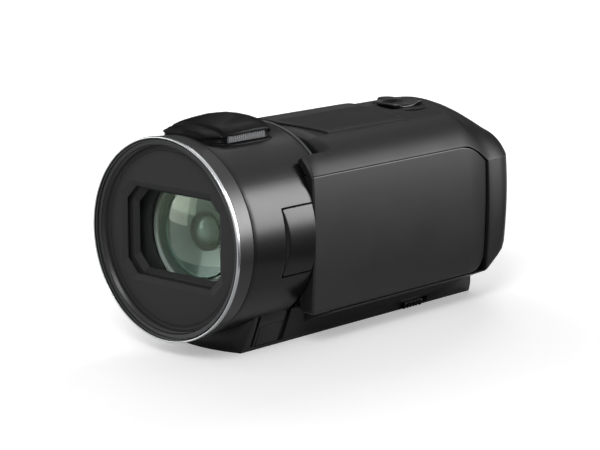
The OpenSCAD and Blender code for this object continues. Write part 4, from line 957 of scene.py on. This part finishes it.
# %% Two sheets joined at the rim
def two_sheet_faces(rows, cols):
    """Quads of two facing grids and of the band between their rims, and the rim's points."""
    near = grid_faces(rows, cols)
    rim = np.concatenate([np.arange(cols), np.arange(1, rows) * cols + cols - 1,
                          (rows - 1) * cols + np.arange(cols - 1)[::-1],
                          np.arange(1, rows - 1)[::-1] * cols])
    after, count = np.roll(rim, -1), rows * cols
    band = np.stack([rim, after, after + count, rim + count], -1)
    return np.concatenate([near, near[:, ::-1] + count, band]).tolist(), rim


def pillow(name, outer, inner, body, finish, sharp=30):
    """Closed piece between two grids of the same shape, joined all round their rims."""
    points = np.concatenate([outer.reshape(-1, 3), inner.reshape(-1, 3)])
    faces, _ = two_sheet_faces(*outer.shape[:2])
    return piece(name, points, faces, body, finish, sharp)


def drop(distance, radius):
    """Fall of a rounded rim at a distance from it: r - sqrt(r^2 - (r - s)^2)."""
    s = np.clip(distance, 0, radius)
    return radius - np.sqrt(np.maximum(radius ** 2 - (radius - s) ** 2, 0))


def crowded(low, high, rim, steps):
    """Values from low to high, closer together within rim of either end."""
    e = rim * (1 - np.cos(np.linspace(0, math.pi / 2, 6)))
    return np.unique(np.concatenate([low + e, np.linspace(low + rim, high - rim, steps), high - e]))


print("fall of a 1 mm rim, 0.5 mm in from it:", round(float(drop(0.5, 1.0)), 3), "mm")

# %% [markdown]
# The folded screen's outer half is a thin tray. Its outside is a height over the side plane:
# gently crowned from bottom to top, round at the front edge, and scooped at the rear so that
# a finger can pull it open. The inside is flat, where the tray meets the bezel.

# %% Screen panel
PANEL_FRONT, PANEL_REAR, PANEL_LOW, SPLIT = 38.0, 130.5, -27.0, 26.0
SIDE_LOW = 27.42
CORNER_FRONT, CORNER_REAR = 1.4, 7.0


def panel_grid():
    """z runs from the low outline, with its two corner radii, to just under the bevel edge.
    x is the side's crown, less the scoop 1.1 s^1.5 and the fall at each of the four rims."""
    corner = 1 - np.cos(np.linspace(0, math.pi / 2, 9))
    d = np.unique(np.concatenate([crowded(PANEL_FRONT, PANEL_REAR, 0.7, 60),
                                  np.linspace(116, 130, 29), PANEL_FRONT + CORNER_FRONT * corner,
                                  PANEL_REAR - CORNER_REAR * corner]))
    low = PANEL_LOW + drop(d - PANEL_FRONT, CORNER_FRONT) + drop(PANEL_REAR - d, CORNER_REAR)
    top = bevel_at(d) - 0.22 - 0.33 * np.clip((d - 116) / 2, 0, 1)
    t = crowded(0, 1, 0.014, 33)
    z = low[:, None] + t[None, :] * (top - low)[:, None]
    dd = np.broadcast_to(d[:, None], z.shape)
    share = (z + SIDE_LOW) / (BEVEL_Z + SIDE_LOW)
    x = SIDE_X + CROWN * (1 - (2 * share - 1) ** 2)
    x = x - drop(dd - PANEL_FRONT, 0.7) - 1.1 * np.clip((dd - 120.2) / 10, 0, 1) ** 1.5
    x = x - drop(PANEL_REAR - dd, 0.5) - drop(z - low[:, None], 0.6) - drop(top[:, None] - z, 0.3)
    return np.stack([x, dd, z], -1), np.stack([np.full_like(x, SPLIT), dd, z], -1)


outer, inner = panel_grid()
panel = pillow("screen_panel_shell", outer, inner, "screen", FINISH["case_charcoal"],
               24)
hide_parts("screen_shell")
softened("screen_bezel", FINISH["screen_black"], 0.2)
print("panel", (np.ptp(outer, axis=(0, 1))).round(1), "mm")

# %% [markdown]
# The hinge knuckle fills its pocket flush with the barrel, so its outside follows the
# barrel's radius. Its front is round about the hinge axis, to clear the pocket as it turns,
# and its two front corners are rounded off.

# %% Hinge knuckle
def knuckle_grid():
    """x = sqrt(r^2 - z^2) behind, and on the arc of radius 4.5 about the hinge axis in front."""
    half, axis_x, axis_d, turn_r, rear = 11.2, 29.6, 27.2, 4.5, 37.0
    z = crowded(-half, half, 0.5, 25)
    cover_x = np.sqrt((BARREL_R - 0.05) ** 2 - z ** 2)
    corner = drop(half - abs(z), 1.8)
    start = axis_d - turn_r
    d = np.concatenate([start + turn_r * (1 - np.cos(np.linspace(0, math.pi / 2, 24))),
                        np.linspace(axis_d, rear, 16)[1:]])
    dd, zz = np.meshgrid(d, z, indexing="ij")
    dd = np.maximum(dd, start + corner[None, :] * (rear - dd) / (rear - start))
    arc_x = axis_x + np.sqrt(np.maximum(turn_r ** 2 - (np.minimum(dd, axis_d) - axis_d) ** 2, 0))
    x = np.where(dd < axis_d, np.minimum(arc_x, cover_x[None, :]), cover_x[None, :])
    x = x - drop(half - abs(zz), 0.35)
    return np.stack([x, dd, zz], -1), np.stack([np.full_like(x, 25.5), dd, zz], -1)


outer, inner = knuckle_grid()
knuckle = pillow("hinge_knuckle_cover", outer, inner, "screen", FINISH["black_barrel"],
                 35)
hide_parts("hinge_knuckle")
print("knuckle", np.ptp(outer, axis=(0, 1)).round(1), "mm")

# %% [markdown]
# On the barrel's top the microphone cover is a low faceted hump: a flat lid that overhangs a
# silver ribbed strip on each side, and a sloping front with a sound slot. It is a loft of
# half sections, mirrored, whose heights grow and fall along the barrel. Its facets stay
# crisp, so the bevel on their edges is what rounds them.

# %% Microphone hump
def hump_ring(d, b, top):
    """Half section at depth d: half width b, and heights as shares of the height that top
    stands above the barrel, base = sqrt(r^2 - b^2). Its mirror image closes the ring."""
    base = math.sqrt(BARREL_R ** 2 - b ** 2)
    h = top - base
    half = np.array([[b - 0.2, base - 2.2], [b, base + 0.04 * h], [b - 0.35, base + 0.10 * h],
                     [b - 1.4, base + 0.12 * h], [b - 1.6, base + 0.44 * h], [b - 0.8, base + 0.47 * h],
                     [b - 0.9, base + 0.58 * h], [b - 2.4, base + 0.75 * h], [b - 5.0, base + 0.9 * h],
                     [b - 9.0, top - 0.12], [0.0, top + 0.1]])
    ring_points = np.vstack([half, (half * [-1, 1])[-2::-1]])
    return np.column_stack([ring_points[:, 0], np.full(len(ring_points), d), ring_points[:, 1]])


stations = np.array([[9.4, 9.5, 34.5], [10.2, 11.0, 35.5], [13.0, 12.4, 36.0], [15.0, 12.9, 36.0],
                     [15.4, 12.9, 35.5], [15.9, 13.4, 35.7], [16.4, 13.7, 36.7], [19.0, 14.2, 37.2],
                     [24.0, 14.3, 37.7], [30.0, 14.3, 38.1], [34.6, 14.2, 37.9], [36.4, 13.9, 37.3],
                     [37.4, 13.4, 36.0], [37.8, 13.0, 34.4]])
rings = np.array([hump_ring(*s) for s in stations])
# moulded ABS with a matting agent, darker and duller than the lacquered barrel under it
hump_black = surfaced("satin_hump_abs", "#080809", 0.36, 0.5, 0.008, specular=0.07)
hump = piece("microphone_cover", rings, tube_faces(rings), "housing", hump_black, 14)
finished(hump, bevelled(0.3, 18, 3), sharp=24)
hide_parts("mic_cover")
print("hump rings", len(rings), "of", rings.shape[1], "points")

# %% [markdown]
# The sound passes through ribbed strips under the lid's overhang, painted silver. Ribs 0.95 mm
# apart are a sine wave along the barrel. A dark slot in the sloping front lets more sound in.

# %% Sound strips
RIB, RIB_DEPTH, STRIP_X = 0.95, 0.14, 13.3
for side, label in ((1, "screen"), (-1, "grip")):
    d = np.linspace(17.3, 34.2, 160)
    wave = RIB_DEPTH * np.sin(2 * math.pi * d / RIB)
    z = math.sqrt(BARREL_R ** 2 - 14.2 ** 2) + np.array([0.95, 1.1, 3.3, 3.45])
    lean = np.array([-0.3, 0.0, -0.28, -0.5])
    x = side * (STRIP_X + lean[None, :] + wave[:, None])
    outer = np.stack([x, np.repeat(d[:, None], 4, 1), np.repeat(z[None, :], len(d), 0)], -1)
    inner = outer.copy()
    inner[..., 0] = side * 11.6
    strip = pillow("sound_strip_" + label, outer, inner, "housing", FINISH["grille_grey"],
                   50)
    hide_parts("mic_grille")
slot_outline = rounded([[-8.5, 32.85], [8.5, 32.85], [7.8, 34.0], [-7.8, 34.0]], 0.3, 3)
slab("front_sound_slot", slot_outline, 9.35, 10.2, "xzd", "housing", FINISH["inner_black"], 0.08)
print("ribs on a strip:", round((34.2 - 17.3) / RIB))

# %% [markdown]
# On the roof lies a raised plate with a swept front edge, three quarters of a millimetre
# proud. It follows the roof, so its height is read off the section's own curves and lifted.

# %% Top plate
def roof_patch(d, x, lift):
    """Height of the roof at (x, d), from the section's curves, plus lift."""
    run = section(d)
    path = np.vstack([run["bevel"][-3:-1], run["roof"][:-1], run["round"]])[::-1]
    return np.interp(x, path[:, 0], path[:, 1]) + lift


def plate_grid(lift, start_x=19.6, end_x=-12.0, end_d=98.0):
    """Across from the crease to the grip side, along from the swept front edge to end_d."""
    x = np.linspace(start_x, end_x, 48)
    swept = np.interp(-x, [-start_x, -4, -end_x], [58.0, 50.9, 50.9])
    t = crowded(0, 1, 0.006, 24)
    d = swept[None, :] + t[:, None] * (end_d - swept)[None, :]
    z = roof_patch(60.0, x, lift)[None, :] + 0 * d
    rim = np.minimum(np.minimum(t, 1 - t)[:, None] * 45, np.minimum(start_x - x, 99)[None, :])
    return np.stack([x[None, :] + 0 * d, d, z - drop(rim, 0.3)], -1)


plate = pillow("roof_plate", plate_grid(0.75), plate_grid(-0.1), "housing",
               FINISH["top_charcoal"], 26)
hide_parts("top_plate")
print("roof plate", np.ptp(plate_grid(0.75), axis=(0, 1)).round(1), "mm")

# %% [markdown]
# Behind the plate the zoom key rocks in its round well. Seen from above it is a disc of 9 mm
# radius with its sides cut off, and it rises to a thumb pad at each end. Rings that shrink
# from the rim to the centre carry that height.

# %% Zoom key
def zoom_key(radius=9.0, half_wide=4.1, floor=31.85):
    """Height 0.75 + 1.15 s^1.2 - 0.25 (x / half_wide)^2, where s runs from 0 to 1 between 2.4
    and 5.6 mm from the middle, less a fall that rounds the rim."""
    a = np.linspace(0, 2 * math.pi, 96, endpoint=False)
    edge = np.column_stack([np.clip(radius * np.cos(a), -half_wide, half_wide),
                            radius * np.sin(a)])
    rings = []
    for share, fall in ((0.90, 2.1), (0.97, 0.9), (1.0, 0.35), (0.985, 0.12), (0.95, 0.0),
                        (0.8, 0.0), (0.5, 0.0), (0.02, 0.0)):
        x, y = (edge * share).T
        pad = np.clip((abs(y) - 2.4) / 3.2, 0, 1)
        rise = 0.75 + 1.15 * pad ** 1.2 - 0.25 * (x / half_wide) ** 2
        rings.append(np.column_stack([ZOOM[0] + x, ZOOM[1] + y, floor + (rise - fall).clip(0.0)]))
    return np.array(rings)


rings = zoom_key()
zoom = piece("zoom_rocker", rings, tube_faces(rings), frame["nodes"]["zoom_lever"]["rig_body"],
             FINISH["control_black"], 30)
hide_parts("zoom_lever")
slab("zoom_well_floor", circle(*ZOOM, 9.4), 31.55, 31.78, "xdz", "housing", FINISH["inner_black"],
     0.05)
print("zoom key", np.ptp(rings, axis=(0, 1)).round(1), "mm")

# %% [markdown]
# The bevel reaches forward past the body as a wing over the folded screen. The wing is the
# lower half of the section's bevel carried forward, with a chamfer at its tip that catches
# the light; underneath, it follows the barrel at a small distance.

# %% Bevel wing
def wing_rings():
    """Lower half of the bevel at each depth, its tip chamfered by 0.6 mm at the low edge and
    1.2 mm at the top, then an arc of radius 34.12 back under it."""
    full = section(90.0, 0.0, 24)["bevel"][:13]
    s = np.linspace(0, 1, 13)[:, None]
    size = np.linalg.norm(full, axis=1, keepdims=True)
    start = math.degrees(math.atan2(full[-1, 1], full[-1, 0]))
    out = []
    for d, share in ((38.0, 1.0), (38.0, 0.97), (38.0, 0.06), (38.1, 0.0), (43.0, 0.0), (48.0, 0.0)):
        outer = full * (1 - share * (0.6 + 0.6 * s) / size)
        tip = (1 - share) * (0.6 + 0.6 * s[:, 0]) if d < 40 else 0 * s[:, 0]
        inner = arc_points((0, 0), 34.12, start, 36.3, 14)
        x, z = np.vstack([outer, inner]).T
        out.append(np.column_stack([x, d + np.append(tip, np.zeros(14)), z]))
    return np.array(out)


rings = wing_rings()
wing = piece("bevel_wing", rings, tube_faces(rings), "housing", FINISH["top_charcoal"], 22)
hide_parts("shoulder_cover")
print("wing", np.ptp(rings, axis=(0, 1)).round(1), "mm")

# %% [markdown]
# Just in front of the body the barrel's top ends in a fine raised bead, a ring section with a
# gloss of its own and a painted highlight, a grey lighter than the barrel's black, which
# together draw one bright line. It is an oval carried round part of the barrel.

# %% Barrel bead
a = np.radians(np.linspace(46, 140, 96))
turn = np.linspace(0, 2 * math.pi, 12, endpoint=False)
bead_r = BARREL_R + 0.05 + 0.5 * np.cos(turn)
bead_d = np.broadcast_to(46.7 + 0.6 * np.sin(turn), (96, 12))
points = np.stack([np.outer(np.cos(a), bead_r), bead_d, np.outer(np.sin(a), bead_r)], -1)
# lacquer glossier than the barrel's, so that it throws the lamps back as a line; its grey colour is a painted
# highlight that makes the line brighter
bead_painted_highlight = surfaced("lacquered_bead_painted_highlight", "#37383a", 0.22, 0.5, 0.004, specular=0.6)
piece("barrel_bead", points, tube_faces(points), "housing", bead_painted_highlight, 40)
print("bead", points.shape[0], "steps round the barrel")

# %% [markdown]
# Buttons, doors, the battery and the base are already right as solids, apart from their
# knife edges. So each keeps its solid's shape, with flat faces merged and the rims rounded by
# a few tenths of a millimetre, and takes the finish of its own slot.

# %% Fittings
ROUNDING = {"screen_case": 0.2, "base_cover": 0.3, "photo_button": 0.5, "record_button": 0.5,
            "power_button": 0.3, "play_button": 0.3, "battery": 0.5, "battery_plate": 0.1,
            "release_lever": 0.12, "jack_door": 0.2, "card_door": 0.15}
slot_of = {subpart["node"]: subpart["material_slot"] for subpart in frame["record"]["subparts"]}
for node, width in ROUNDING.items():
    softened(node, FINISH[slot_of[node]], width)
print(len(ROUNDING), "fittings rounded")

# %% [markdown]
# The hand strap is nylon webbing. It goes round a bar at each end and is sewn back onto
# itself, so its centre line is one path: a short tail, half a turn round the bar, the long
# arc over the hand, and the same again. Bars and bulge are measured on the solids, so the
# webbing fits them: an arc that bulges by b over half a span h has the radius
# (h^2 + b^2) / 2b.

# %% The strap's path
bar_lo, bar_hi = (np.array(corner) * 1000 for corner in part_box("strap_bars"))
band_lo, _ = (np.array(corner) * 1000 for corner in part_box("strap_band"))
HALF_SPAN, WEB_OUT, WEB_HALF = 39.0, 0.85, 0.6
BAR_R = (bar_hi[1] - bar_lo[1]) / 2 - HALF_SPAN
BAR_X = bar_lo[0] + BAR_R
BULGE = BAR_X - 1.4 - band_lo[0]
STRAP_R = (HALF_SPAN ** 2 + BULGE ** 2) / (2 * BULGE)
# FRONT is rounded here, because a cloth run answers to the last digit of where its blank lies
STRAP_X, STRAP_D = BAR_X - BULGE + STRAP_R, (bar_lo[1] + bar_hi[1]) / 2 - round(FRONT, 3)
TURN = math.asin(HALF_SPAN / STRAP_R)
ROUND = BAR_R + WEB_OUT


def on_arc(angle, radius):
    """Point at an angle along the strap and a distance from the arc's centre, as (x, d)."""
    return np.column_stack([STRAP_X - radius * np.cos(angle), STRAP_D + radius * np.sin(angle)])


def strap_path(tail_turn=0.16, main_turn=0.22, main_out=0.75):
    """Tail, half turn round the rear bar and half the long arc, then its mirror image in front.
    The tail lies WEB_OUT inside the arc and the long run main_out outside it. Each reaches the
    loop's radius ROUND by a square curve over its own turn, in radians."""
    tail = np.linspace(TURN - tail_turn, TURN, 12)
    tail_r = STRAP_R - WEB_OUT - (ROUND - WEB_OUT) * ((tail - tail[0]) / tail_turn) ** 2
    phi = np.linspace(0, math.pi, 25)[1:-1, None]
    out = np.array([[-math.cos(TURN), math.sin(TURN)]])
    along = np.array([[math.sin(TURN), math.cos(TURN)]])
    loop = on_arc(np.array([TURN]), STRAP_R) + ROUND * (-np.cos(phi) * out + np.sin(phi) * along)
    main = np.linspace(TURN, 0, 60)
    rise = np.clip((main - TURN + main_turn) / main_turn, 0, 1) ** 2
    main_r = STRAP_R + main_out + (ROUND - main_out) * rise
    half = np.vstack([on_arc(tail, tail_r), loop, on_arc(main, main_r)])
    return np.vstack([half, (half * [1, -1] + [0, 2 * STRAP_D])[-2::-1]])


path = strap_path()
length = float(np.linalg.norm(np.diff(path, axis=0), axis=1).sum())
print("strap path", round(length), "mm, arc radius", round(float(STRAP_R), 1), "mm")

# %% [markdown]
# The webbing itself is a flat oval carried along that path. It is modelled directly, not as
# cloth, because webbing is stiff and keeps its thickness.

# %% Webbing
def carried(path, half_height, half_thick, steps=10):
    """Flat oval with half-round edges, set across the path: the normal is the path's direction
    turned by 90 degrees."""
    ahead = np.gradient(path, axis=0)
    ahead /= np.linalg.norm(ahead, axis=1, keepdims=True)
    normal = np.column_stack([ahead[:, 1], -ahead[:, 0]])
    a = np.linspace(-math.pi / 2, math.pi / 2, steps)
    z = np.concatenate([half_height - half_thick + half_thick * np.cos(a),
                        -half_height + half_thick - half_thick * np.cos(a)])
    off = half_thick * np.concatenate([np.sin(a), -np.sin(a)])
    flat = path[:, None, :] + normal[:, None, :] * off[None, :, None]
    return np.stack([flat[..., 0], flat[..., 1], np.broadcast_to(z, flat.shape[:2])], -1)


rings = carried(path, 12.0, WEB_HALF)
webbing = piece("strap_webbing_band", rings, tube_faces(rings), "housing", FINISH["strap_webbing"],
                50)
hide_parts("strap_band")
print("webbing", len(rings), "rings,", 2 * WEB_HALF, "mm thick")

# %% [markdown]
# A row of stitches runs along each edge of the webbing. Each stitch is a small capsule that
# lies on the arc at its own angle. All of them are one mesh: the faces of one stitch are
# counted on for the others.

# %% Strap stitches
STITCH_RINGS, STITCH_SIDES, THREAD_R, STITCH_HALF = 5, 6, 0.28, 1.0


def stitch_row(angles, radius, z):
    """Capsules along an arc: at s from -1 to 1 along a stitch, its radius is that of the
    thread times sqrt(1.02 - s^2), and its angle the stitch's own plus s * half length / r."""
    s = np.linspace(-1, 1, STITCH_RINGS)
    fat = THREAD_R * np.sqrt(1.02 - s ** 2)
    a = np.linspace(0, 2 * math.pi, STITCH_SIDES, endpoint=False)
    turn = angles[:, None, None] + s[None, :, None] * STITCH_HALF / radius + 0 * a
    r = radius + fat[None, :, None] * np.cos(a)
    zz = z + fat[None, :, None] * np.sin(a) + 0 * turn
    return np.stack([STRAP_X - r * np.cos(turn), STRAP_D + r * np.sin(turn), zz], -1)


turns = np.arange(-0.56, 0.561, 0.05)
stitch_grid = np.concatenate([stitch_row(turns, STRAP_R + 1.4, z) for z in (-10.3, 10.3)])
count = STITCH_RINGS * STITCH_SIDES
first = np.arange(len(stitch_grid))[:, None, None] * count
sides = grid_faces(STITCH_RINGS, STITCH_SIDES, loop_cols=True)[None] + first
caps = np.array([np.arange(STITCH_SIDES)[::-1], np.arange(count - STITCH_SIDES, count)])[None] + first
faces = sides.reshape(-1, 4).tolist() + caps.reshape(-1, STITCH_SIDES).tolist()
# bonded polyester thread: smoother than the webbing, so it stands out as a paler dotted line
polyester = surfaced("polyester_thread", "#2e2e30", 0.6, 0.3, 0.02, specular=0.3)
piece("strap_stitches", stitch_grid, faces, "housing", polyester, 60)
print(len(stitch_grid), "stitches")

# %% [markdown]
# Under the webbing lies the hand pad: two layers of cloth over foam, sewn round the rim. Cloth
# that is blown up between pinned seams takes the soft crowned form of such a pad, so its blank
# is a thin bent lens, and a short cloth run fills it.

# %% Blank of the hand pad
def pad_blank(rows=64, cols=30):
    """Two sheets on the arc, r = middle +- t/2, where t falls to 0.8 mm at the rounded rim."""
    u, v = np.meshgrid(np.linspace(-1, 1, rows), np.linspace(-1, 1, cols), indexing="ij")
    wide = 14.2 * (1 - 0.10 * np.abs(u) ** 6)
    reach = 0.476 * (1 - 0.05 * np.abs(v) ** 5)
    edge = np.clip(np.minimum((1 - abs(u)) * 28, (1 - abs(v)) * 14) / 3.0, 0, 1)
    thick = 0.8 + 2.6 * np.sqrt(1 - (1 - edge) ** 2)
    sheets = []
    for side in (1, -1):
        r = STRAP_R - 2.75 + side * thick / 2
        sheets.append(np.stack([STRAP_X - r * np.cos(reach * u),
                                STRAP_D + r * np.sin(reach * u), wide * v], -1))
    return sheets


outer, inner = pad_blank()
faces, rim = two_sheet_faces(*outer.shape[:2])
blank_points = np.concatenate([outer.reshape(-1, 3), inner.reshape(-1, 3)])
seam = np.concatenate([rim, rim + len(blank_points) // 2]).tolist()
print("pad blank", len(blank_points), "points,", len(seam), "of them in the seam")

# %% [markdown]
# Cloth settings suit things the size of a cushion, so the blank is run twelve times larger
# and brought back. Pressure pushes the sheets apart while the seam is pinned. How far each
# point may move is limited to 1.6 mm, so the pad keeps its place between hand and webbing.

# %% Filling the pad
def filled(points, faces, pinned, scale=12.0, frames=18, pressure=5.0, cap=1.6):
    """Run Cloth with pressure on a larger copy; each point's way from its start is cut to cap."""
    mesh = bpy.data.meshes.new("pad_blank")
    mesh.from_pydata((points * scale / 1000).tolist(), [], faces)
    blank = bpy.data.objects.new("pad_blank", mesh)
    bpy.context.scene.collection.objects.link(blank)
    blank.vertex_groups.new(name="seam").add(pinned, 1.0, "REPLACE")
    cloth = blank.modifiers.new("cloth", "CLOTH")
    cloth.settings.vertex_group_mass = "seam"
    cloth.settings.use_pressure, cloth.settings.uniform_pressure_force = True, pressure
    cloth.settings.effector_weights.gravity = 0.0
    cloth.point_cache.frame_end = frames
    for frame_number in range(1, frames + 1):
        bpy.context.scene.frame_set(frame_number)
    done = blank.evaluated_get(bpy.context.evaluated_depsgraph_get()).to_mesh()
    place = np.empty(len(points) * 3)
    done.vertices.foreach_get("co", place)
    bpy.data.objects.remove(blank)
    bpy.context.scene.frame_set(1)
    way = place.reshape(-1, 3) / scale * 1000 - points
    size = np.linalg.norm(way, axis=1, keepdims=True)
    print("pad swelled by up to", float(size.max().round(2)), "mm")
    return points + way * np.minimum(1, cap / np.maximum(size, 1e-9))


points = filled(blank_points, faces, seam)

# %% [markdown]
# The webbing is tight, so the pad can't stand further out than the webbing's inside, and only
# beside it may the cloth rise a little. The filled pad should lie inside that limit already, so
# this is a guard, and the print says how many points it had to hold. One step of subdivision
# then smooths the cloth's cells.

# %% Hand pad
centre = np.array([STRAP_X, STRAP_D])
out_r = np.hypot(points[:, 0] - STRAP_X, points[:, 1] - STRAP_D)
limit = np.where(abs(points[:, 2]) < 12.2, STRAP_R - 0.05, STRAP_R + 0.7)
held = np.minimum(1, limit / out_r)[:, None]
points[:, :2] = centre + (points[:, :2] - centre) * held
pad = piece("strap_hand_pad", points, faces, "housing", FINISH["pad_cloth"], 60)
finished(pad, ("SUBSURF", {"levels": 1, "render_levels": 1}), sharp=60)
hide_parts("strap_pad")
print("pad points held down by the webbing:", int((held < 1).sum()), "of", len(points))

# %% [markdown]
# The strap's bars are steel wire, plated black so that they don't shine beside the webbing.
# They keep their solid's mesh and get a darker finish than the bright rods inside.

# %% Strap bars
bar_steel = surfaced("black_plated_steel", "#3c3d3f", 0.35, 0.3, 0.006, metal=1.0)
frame["nodes"]["strap_bars"].material_slots[0].material = bar_steel
print("strap bars plated")

# %% [markdown]
# The camcorder stands on a white product table. The paper glows a little for the camera only,
# so that it comes out white while no more light reaches the black plastic from below.

# %% Table
def staged(name, corners, finish):
    """One flat face through the corners, as an object of its own that rides on no body."""
    mesh = bpy.data.meshes.new(name)
    mesh.from_pydata([[float(v) for v in corner] for corner in corners], [],
                     [list(range(len(corners)))])
    mesh.materials.append(finish)
    obj = bpy.data.objects.new(name, mesh)
    scene.collection.objects.link(obj)
    return obj


scene = bpy.context.scene
scene.view_settings.view_transform = "Standard"
# white matte paper
paper, tree, shader, _ = started("white_table_paper", {
    "Base Color": linear("#f4f4f4"), "Roughness": 0.9, "Specular IOR Level": 0.0,
    "Emission Color": (1, 1, 1, 1)})
ray = add_node(tree, "ShaderNodeLightPath")
glow = add_node(tree, "ShaderNodeMath", {"operation": "MULTIPLY", 1: 0.34},
                _0=ray.outputs["Is Camera Ray"])
tree.links.new(glow.outputs[0], shader.inputs["Emission Strength"])
staged("table_floor", [(x, y, cad_low.z) for x, y in rectangle(-3, -3, 3, 3)], paper)
print("table at z", round(1000 * cad_low.z, 2), "mm")

# %% [markdown]
# The background is white for the eye, in gloss and through glass, but dim as a light. If the
# room lit the black plastic as brightly as it looks, its blacks would turn grey.

# %% Background
world = bpy.data.worlds.new("studio")
scene.world = world
world.use_nodes = True
sky = world.node_tree
sky.nodes.clear()
ray = add_node(sky, "ShaderNodeLightPath")
seen = add_node(sky, "ShaderNodeMath", {"operation": "MAXIMUM"}, _0=ray.outputs["Is Camera Ray"],
                _1=ray.outputs["Is Glossy Ray"])
seen = add_node(sky, "ShaderNodeMath", {"operation": "MAXIMUM"}, _0=seen.outputs[0],
                _1=ray.outputs["Is Transmission Ray"])
dim = add_node(sky, "ShaderNodeBackground", {"Color": (1, 1, 1, 1), "Strength": 0.3})
white = add_node(sky, "ShaderNodeBackground", {"Color": (1, 1, 1, 1), "Strength": 1.0})
blend = add_node(sky, "ShaderNodeMixShader", {}, _0=seen.outputs[0], _1=dim.outputs[0],
                 _2=white.outputs[0])
add_node(sky, "ShaderNodeOutputWorld", {}, Surface=blend.outputs[0])
print("background nodes", len(sky.nodes))

# %% [markdown]
# Black plastic shows its lamps more than its colour, so the lamps are placed by what they
# draw. Each is a rectangle that faces the object.
# - A long softbox behind on the screen side draws the bright band down the barrel and the
#   bevel. It shows in reflections only.
# - A small one behind on the grip side, higher up, gives the roof its sheen.
# - A near one in front on the grip side, at the lens's own height, is thrown back by the glass
#   and the ring. It too is for reflections only.
# - One above and in front, on the screen side, lights the top and the ring.
# - Two large dim ones, on the grip side and in front, only fill the shadows. They are kept out
#   of reflections.

# %% Lamps
AIM = np.array([0.0, 0.0, 0.04])


def softbox(name, toward, distance, width, height, power, glossy=True, diffuse=True):
    """A rectangular lamp at distance along the direction toward, facing the object."""
    toward = np.asarray(toward, float) / np.linalg.norm(toward)
    lamp = bpy.data.lights.new(name, "AREA")
    lamp.shape, lamp.size, lamp.size_y, lamp.energy = "RECTANGLE", width, height, power
    obj = bpy.data.objects.new(name, lamp)
    scene.collection.objects.link(obj)
    obj.location = AIM + toward * distance
    obj.rotation_euler = Vector(toward).to_track_quat("Z", "Y").to_euler()
    obj.visible_camera = False
    obj.visible_glossy, obj.visible_diffuse = glossy, diffuse


softbox("rear_side_softbox", (0.63, 0.69, 0.32), 1.2, 0.36, 0.74, 16, diffuse=False)
softbox("rear_top_softbox", (-0.43, 0.72, 0.58), 1.2, 0.4, 0.4, 3.6)
softbox("lens_side_softbox", (-0.79, -0.61, 0.02), 0.45, 0.25, 0.25, 0.55, diffuse=False)
softbox("front_top_softbox", (0.40, -0.64, 0.66), 1.5, 0.5, 0.5, 8)
softbox("grip_side_fill", (-0.85, 0.35, 0.5), 1.6, 0.9, 0.9, 8, glossy=False)
softbox("front_fill", (0.45, -0.8, 0.35), 1.6, 0.9, 0.9, 4, glossy=False)

# %% [markdown]
# Photographers of black things stand black cards just out of the picture, so that the gloss
# doesn't fill with the white room. One stands behind on the grip side, and one lies on the
# table on the screen side. Only reflections see them.

# %% Black cards
def facing(toward, distance, width, height):
    """Corners of a rectangle across the direction toward: middle +- half width +- half height."""
    toward = np.asarray(toward, float) / np.linalg.norm(toward)
    side = np.cross([0, 0, 1], toward)
    side /= np.linalg.norm(side)
    up = np.cross(toward, side)
    middle = AIM + toward * distance
    return [middle + side * a * width / 2 + up * b * height / 2 for a, b in rectangle(-1, -1, 1, 1)]


table_card = [[0.06, 0.02], [0.3, -0.2], [1.2, 0.5], [0.5, 1.2], [-0.1, 0.6]]
for name, corners in (("rear_card", facing((-0.62, 0.72, 0.3), 1.0, 1.9, 1.0)),
                      ("floor_card", [(x, y, cad_low.z + 0.0005) for x, y in table_card])):
    card = staged(name, corners, FINISH["inner_black"])
    card.visible_camera = card.visible_diffuse = False
    card.visible_shadow = card.visible_transmission = False
print("two black cards placed")

# %% [markdown]
# The camera stands in front of the lens, to the screen side and a little above, about 0.75 m
# away. Its turn is given as three axes: right, up and back. The long lens keeps the
# perspective mild, as for a catalogue picture.

# %% The camera
lens = bpy.data.cameras.new("camera")
lens.lens, lens.sensor_width = 128.957, 36.0
lens.clip_start, lens.clip_end = 0.05, 20
eye = bpy.data.objects.new("camera", lens)
scene.collection.objects.link(eye)
# columns: right, up, back and the place in metres
eye.matrix_world = Matrix([[0.73333, -0.14052, 0.66519, 0.4962],
                           [0.67987, 0.15157, -0.71749, -0.53983],
                           [0.0, 0.97841, 0.20669, 0.18816],
                           [0, 0, 0, 1]])
scene.camera = eye
print("camera", round(eye.matrix_world.translation.length, 3), "m from the origin")
